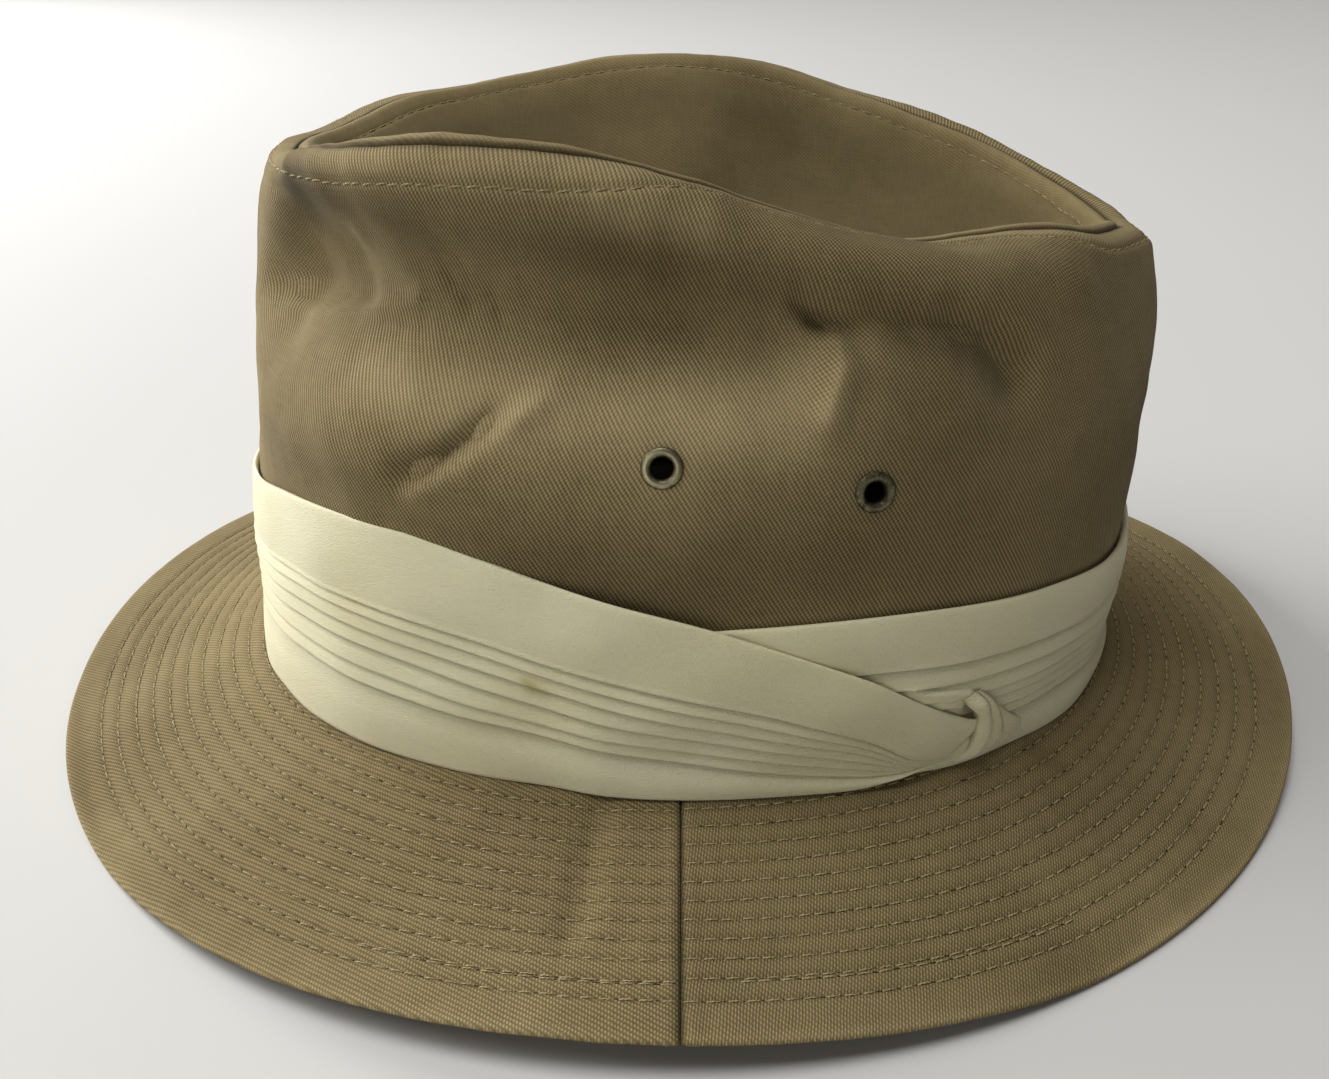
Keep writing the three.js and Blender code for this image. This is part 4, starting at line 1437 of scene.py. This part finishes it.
# The knot's edges from its loop to its fanned tip, each from top to foot: around, height.
KNOT_EDGES = (
    ((58.6, 18.2), (57.6, 16.0), (56.2, 12.6), (55.9, 8.7), (56.2, 4.8), (57.2, 2.6), (58.8, 1.8)),
    ((57.6, 19.4), (56.0, 16.6), (55.0, 12.2), (54.4, 8.2), (54.7, 4.6), (55.8, 2.0), (57.4, 1.0)),
    ((56.6, 18.9), (54.7, 15.8), (53.3, 11.8), (52.2, 7.6), (52.0, 4.4), (53.2, 1.8), (55.4, 0.8)),
    ((55.6, 17.2), (53.2, 13.0), (50.6, 9.2), (47.9, 5.7), (47.7, 3.4), (49.6, 1.2), (53.2, 0.6)),
)
# Across the knot: the edge it starts from, the share of the way to the next, the height out.
KNOT_SECTION = (
    (0, -0.40, 0.0), (0, -0.38, 1.2), (0, -0.26, 2.2), (0, -0.08, 2.75), (0, 0.1, 3.05),
    (0, 0.3, 3.3), (0, 0.5, 3.35), (0, 0.7, 3.2), (0, 0.88, 2.95), (0, 0.97, 2.6),
    (0, 1.0, 2.2), (0, 0.96, 1.85),
    (1, 0.02, 1.9), (1, 0.12, 2.15), (1, 0.3, 2.4), (1, 0.5, 2.5), (1, 0.7, 2.4),
    (1, 0.88, 2.2), (1, 0.97, 1.9), (1, 1.0, 1.5), (1, 0.96, 1.2),
    (2, 0.02, 1.25), (2, 0.12, 1.45), (2, 0.3, 1.6), (2, 0.5, 1.5), (2, 0.7, 1.3),
    (2, 0.88, 1.0), (2, 0.97, 0.75), (2, 1.0, 0.4), (2, 0.96, 0.0),
    (2, 0.5, 0.0), (2, 0.1, 0.0), (1, 0.3, 0.0), (0, 0.5, 0.0),
)
KNOT_SEAT = 2.0                # out from the wall, where the knot lies on the band


def build_knot(context):
    cloth = context.scene.fedora_cloth
    down = np.linspace(0, 6, 40)
    edges = [np.stack(Curve([(k, *p) for k, p in enumerate(e)])(down), -1) for e in KNOT_EDGES]
    section = KNOT_SECTION + KNOT_SECTION[:1]
    places = np.stack([lerp(edges[k], edges[k + 1], t) for k, t, _ in section])
    full = 0.55 + 0.45 * eased(down / 1.2) * (1 - 0.6 * eased((down - 4.2) / 1.8))
    out = np.array([high for _, _, high in section])[:, None] * full
    points, _ = wall_point(places[..., 0], places[..., 1], KNOT_SEAT + out)
    top = points[:-1, :1].mean(0, keepdims=True) + 0 * points[:, :1]
    foot = points[:-1, -1:].mean(0, keepdims=True) + 0 * points[:, :1]
    points = np.concatenate([top, points, foot], 1)
    across = np.arange(len(section))[:, None] * 0.5 + 0 * points[..., 0]
    along = np.arange(points.shape[1])[None, :] * 0.5 + 0 * points[..., 0]
    # Painted shade along the knot's edges, where one panel tucks under the next and where the loop
    # meets the band.
    painted_edge_shade = np.array([0.9 if high < 2.0 and k == 0 else 0.0 for k, _, high in section])
    for k, (_, t, _) in enumerate(section):
        if 0 < t < 0.06 or 0.95 < t < 0.965:
            painted_edge_shade[k] = 0.75
    layers = {
        "wear": np.zeros(points.shape[:2]),
        "stain": np.zeros(points.shape[:2]),
        "crease": painted_edge_shade[:, None] + 0 * across,
    }
    mesh = cloth_mesh("band_knot", points, np.stack([across, along], -1), layers)
    finish = crepe_finish("crepe_knot", crepe_colours(cloth))
    return finished_piece("band_knot_crepe", mesh, finish, "band_knot")


# ---------- eyelets ----------

# The eyelet's outline, radius and height in mm, once round from the inside of its barrel.
EYELET_OUTLINE = (
    (2.10, -1.6), (2.9, -1.75), (3.5, -1.7), (3.7, -1.55), (3.6, -1.42), (2.55, -1.42),
    (2.5, -1.2), (2.5, 0.0), (3.5, 0.02), (3.88, 0.02), (4.0, 0.10), (3.98, 0.24),
    (3.82, 0.42), (3.5, 0.58), (3.1, 0.66), (2.7, 0.62), (2.4, 0.46), (2.2, 0.2), (2.10, -0.1),
)
EYELET_CREST = 3.15            # radius of the crest, where the brass is rubbed
EYELET_POLISH = (1.0, 0.35, 0.7, 0.4)  # how rubbed each of the four is


def build_eyelet(context, name, around, height, polish):
    metal = context.scene.fedora_metal
    form = bmesh.new()
    corners = [form.verts.new((r, 0, z)) for r, z in EYELET_OUTLINE]
    edges = [form.edges.new((a, b)) for a, b in zip(corners, corners[1:] + corners[:1])]
    bmesh.ops.spin(
        form, geom=corners + edges, cent=(0, 0, 0), axis=(0, 0, 1), dvec=(0, 0, 0),
        angle=2 * math.pi, steps=56, use_merge=True,
    )
    bmesh.ops.remove_doubles(form, verts=form.verts, dist=1e-4)
    bmesh.ops.recalc_face_normals(form, faces=form.faces)
    rub = form.verts.layers.float.new("wear")
    for vert in form.verts:
        radius = math.hypot(vert.co.x, vert.co.y)
        on_crest = math.exp(-((radius - EYELET_CREST) / 0.55) ** 2)
        vert[rub] = on_crest if vert.co.z > 0.3 else 0.0
    bmesh.ops.scale(form, vec=(METRES, METRES, METRES), verts=form.verts)
    seat = along_axis(*eyelet_seat(around, height))
    bmesh.ops.transform(form, matrix=seat, verts=form.verts)
    mesh = bpy.data.meshes.new(name)
    form.to_mesh(mesh)
    form.free()
    finish = brass_finish("brass_" + name, (tuple(metal.dark), tuple(metal.bright)), polish)
    return finished_piece(name + "_brass", mesh, finish, name)


# ---------- operators ----------

FLOOR_HALF = 40.0              # metres, as are the places below
STAGE_MIDDLE = (-0.0023, -0.0038, 0.0349)  # what the camera and the lamps look at
CAMERA_PLACE = (0.3158, -0.0038, 0.1970)
LIGHT_AWAY = 1.9               # from each lamp to what it looks at
# name, turn from the hat's front to its left side, rise, size, share of the key's power
LAMPS = (
    ("key", -34, 13, 0.9, 1.0),
    ("side", 4, 40, 1.2, 0.42),
    ("camera_side", 65, 14, 1.4, 0.16),
)
FLOOR_LAMP = ("floor", 90, 89, 1.0, 0.10)
FLOOR_SPOT = (-1.3, 0.2, 0.0)  # what the floor's own lamp looks at
TOP_STRENGTH = 0.036           # of the even light from above, for each watt of the key
TOP_SOFTNESS = 0.63            # its angular size, radians
TOP_TILT = 0.14


class FEDORA_OT_stage(bpy.types.Operator):
    """Set the floor, the light and the camera."""

    bl_idname = "fedora.stage"
    bl_label = "Stage"

    def execute(self, context):
        stage = context.scene.fedora_stage
        form = bmesh.new()
        bmesh.ops.create_grid(form, x_segments=8, y_segments=8, size=FLOOR_HALF)
        mesh = bpy.data.meshes.new("floor")
        form.to_mesh(mesh)
        form.free()
        floor = bpy.data.objects.new("floor", mesh)
        context.scene.collection.objects.link(floor)
        f = Finish("pale_floor")
        tone = f.noise(f.objects(), 0.5, detail=1.0)
        pale = tuple(stage.floor)
        shaded = tuple(c * 0.97 for c in pale)
        mesh.materials.append(
            f.surface({"Base Color": f.mix(tone, shaded, pale), "Roughness": 0.9,
                       "Specular IOR Level": 0.1})
        )
        target = Vector(STAGE_MIDDLE)
        for lamp in LAMPS:
            self.add_lamp(context, lamp, stage.key, target)
        sun = bpy.data.lights.new("top", "SUN")
        sun.energy, sun.angle = stage.key * TOP_STRENGTH, TOP_SOFTNESS
        top = bpy.data.objects.new("top", sun)
        top.rotation_euler = (TOP_TILT, 0.0, 0.0)
        context.scene.collection.objects.link(top)
        self.add_lamp(context, FLOOR_LAMP, stage.key, Vector(FLOOR_SPOT))
        world = bpy.data.worlds.new("studio")
        world.use_nodes = True
        background = world.node_tree.nodes["Background"]
        background.inputs["Color"].default_value = (1.0, 0.93, 0.80, 1)
        background.inputs["Strength"].default_value = stage.fill
        context.scene.world = world
        lens = bpy.data.cameras.new("camera")
        lens.lens, lens.sensor_width = stage.lens, 36.0
        lens.clip_start, lens.clip_end = 0.01, 200.0
        camera = bpy.data.objects.new("camera", lens)
        camera.location = CAMERA_PLACE
        toward = target - camera.location
        camera.rotation_euler = toward.to_track_quat("-Z", "Y").to_euler()
        context.scene.collection.objects.link(camera)
        context.scene.camera = camera
        context.scene.view_settings.view_transform = "Standard"
        return {"FINISHED"}

    @staticmethod
    def add_lamp(context, row, power, target):
        """A soft disc that looks at target, from a row of the table of lamps."""
        name, turn, rise, size, share = row
        light = bpy.data.lights.new(name, "AREA")
        light.shape, light.size, light.energy = "DISK", size, power * share
        lamp = bpy.data.objects.new(name, light)
        turn, rise = math.radians(turn), math.radians(rise)
        way = Vector((math.sin(turn), -math.cos(turn), math.tan(rise))).normalized()
        lamp.location = target + way * LIGHT_AWAY
        lamp.rotation_euler = (target - lamp.location).to_track_quat("-Z", "Y").to_euler()
        context.scene.collection.objects.link(lamp)


class FEDORA_OT_crown(bpy.types.Operator):
    """Make the crown's wall and its tip, with their folds and their holes for the eyelets."""

    bl_idname = "fedora.crown"
    bl_label = "Crown"

    def execute(self, context):
        side = build_crown_side(context)
        tip = build_crown_tip(context)
        return {"FINISHED"}


class FEDORA_OT_brim(bpy.types.Operator):
    """Make the two quilted halves of the brim."""

    bl_idname = "fedora.brim"
    bl_label = "Brim"

    def execute(self, context):
        back = build_brim_half(context, "brim_back", SIDE_SEAM - 180, 7.0, (0.12, 0.06, 0.2), 51)
        front = build_brim_half(context, "brim_front", SIDE_SEAM, 0.0, (0.2, 0.1, 0.13), 52)
        return {"FINISHED"}


class FEDORA_OT_stitches(bpy.types.Operator):
    """Sew the rows of stitches on the brim and the crown."""

    bl_idname = "fedora.stitches"
    bl_label = "Stitches"

    def execute(self, context):
        build_brim_stitches(context, "brim_stitches", False)
        build_brim_stitches(context, "brim_stitches_under", True)
        build_crown_stitches(context)
        return {"FINISHED"}


class FEDORA_OT_band(bpy.types.Operator):
    """Make the pleated crepe band and the knot that holds its end."""

    bl_idname = "fedora.band"
    bl_label = "Band"

    def execute(self, context):
        band = build_band(context)
        knot = build_knot(context)
        return {"FINISHED"}


class FEDORA_OT_eyelets(bpy.types.Operator):
    """Set the four brass eyelets."""

    bl_idname = "fedora.eyelets"
    bl_label = "Eyelets"

    def execute(self, context):
        for (name, around, height), polish in zip(EYELETS, EYELET_POLISH):
            build_eyelet(context, name, around, height, polish)
        return {"FINISHED"}


class FEDORA_PT_sidebar(bpy.types.Panel):
    """The fedora's pieces in the order they are made."""

    bl_idname = "FEDORA_PT_sidebar"
    bl_label = "Fedora"
    bl_space_type = "VIEW_3D"
    bl_region_type = "UI"
    bl_category = "Fedora"

    def draw(self, context):
        for operator in OPERATORS:
            self.layout.operator(operator.bl_idname)
        for name in GROUPS:
            group = getattr(context.scene, name)
            box = self.layout.box()
            for key in group.bl_rna.properties.keys():
                if key not in ("rna_type", "name"):
                    box.prop(group, key)


OPERATORS = (
    FEDORA_OT_stage,
    FEDORA_OT_crown,
    FEDORA_OT_brim,
    FEDORA_OT_stitches,
    FEDORA_OT_band,
    FEDORA_OT_eyelets,
)
GROUPS = {
    "fedora_cloth": FedoraCloth,
    "fedora_sizes": FedoraSizes,
    "fedora_metal": FedoraMetal,
    "fedora_stage": FedoraStage,
}


def register():
    for group in GROUPS.values():
        bpy.utils.register_class(group)
    for operator in OPERATORS:
        bpy.utils.register_class(operator)
    bpy.utils.register_class(FEDORA_PT_sidebar)
    for name, group in GROUPS.items():
        setattr(bpy.types.Scene, name, PointerProperty(type=group))


def unregister():
    for name in GROUPS:
        delattr(bpy.types.Scene, name)
    bpy.utils.unregister_class(FEDORA_PT_sidebar)
    for operator in reversed(OPERATORS):
        bpy.utils.unregister_class(operator)
    for group in GROUPS.values():
        bpy.utils.unregister_class(group)


def main():
    register()
    bpy.ops.fedora.stage()
    bpy.ops.fedora.crown()
    bpy.ops.fedora.brim()
    bpy.ops.fedora.stitches()
    bpy.ops.fedora.band()
    bpy.ops.fedora.eyelets()


if __name__ == "__main__":
    main()
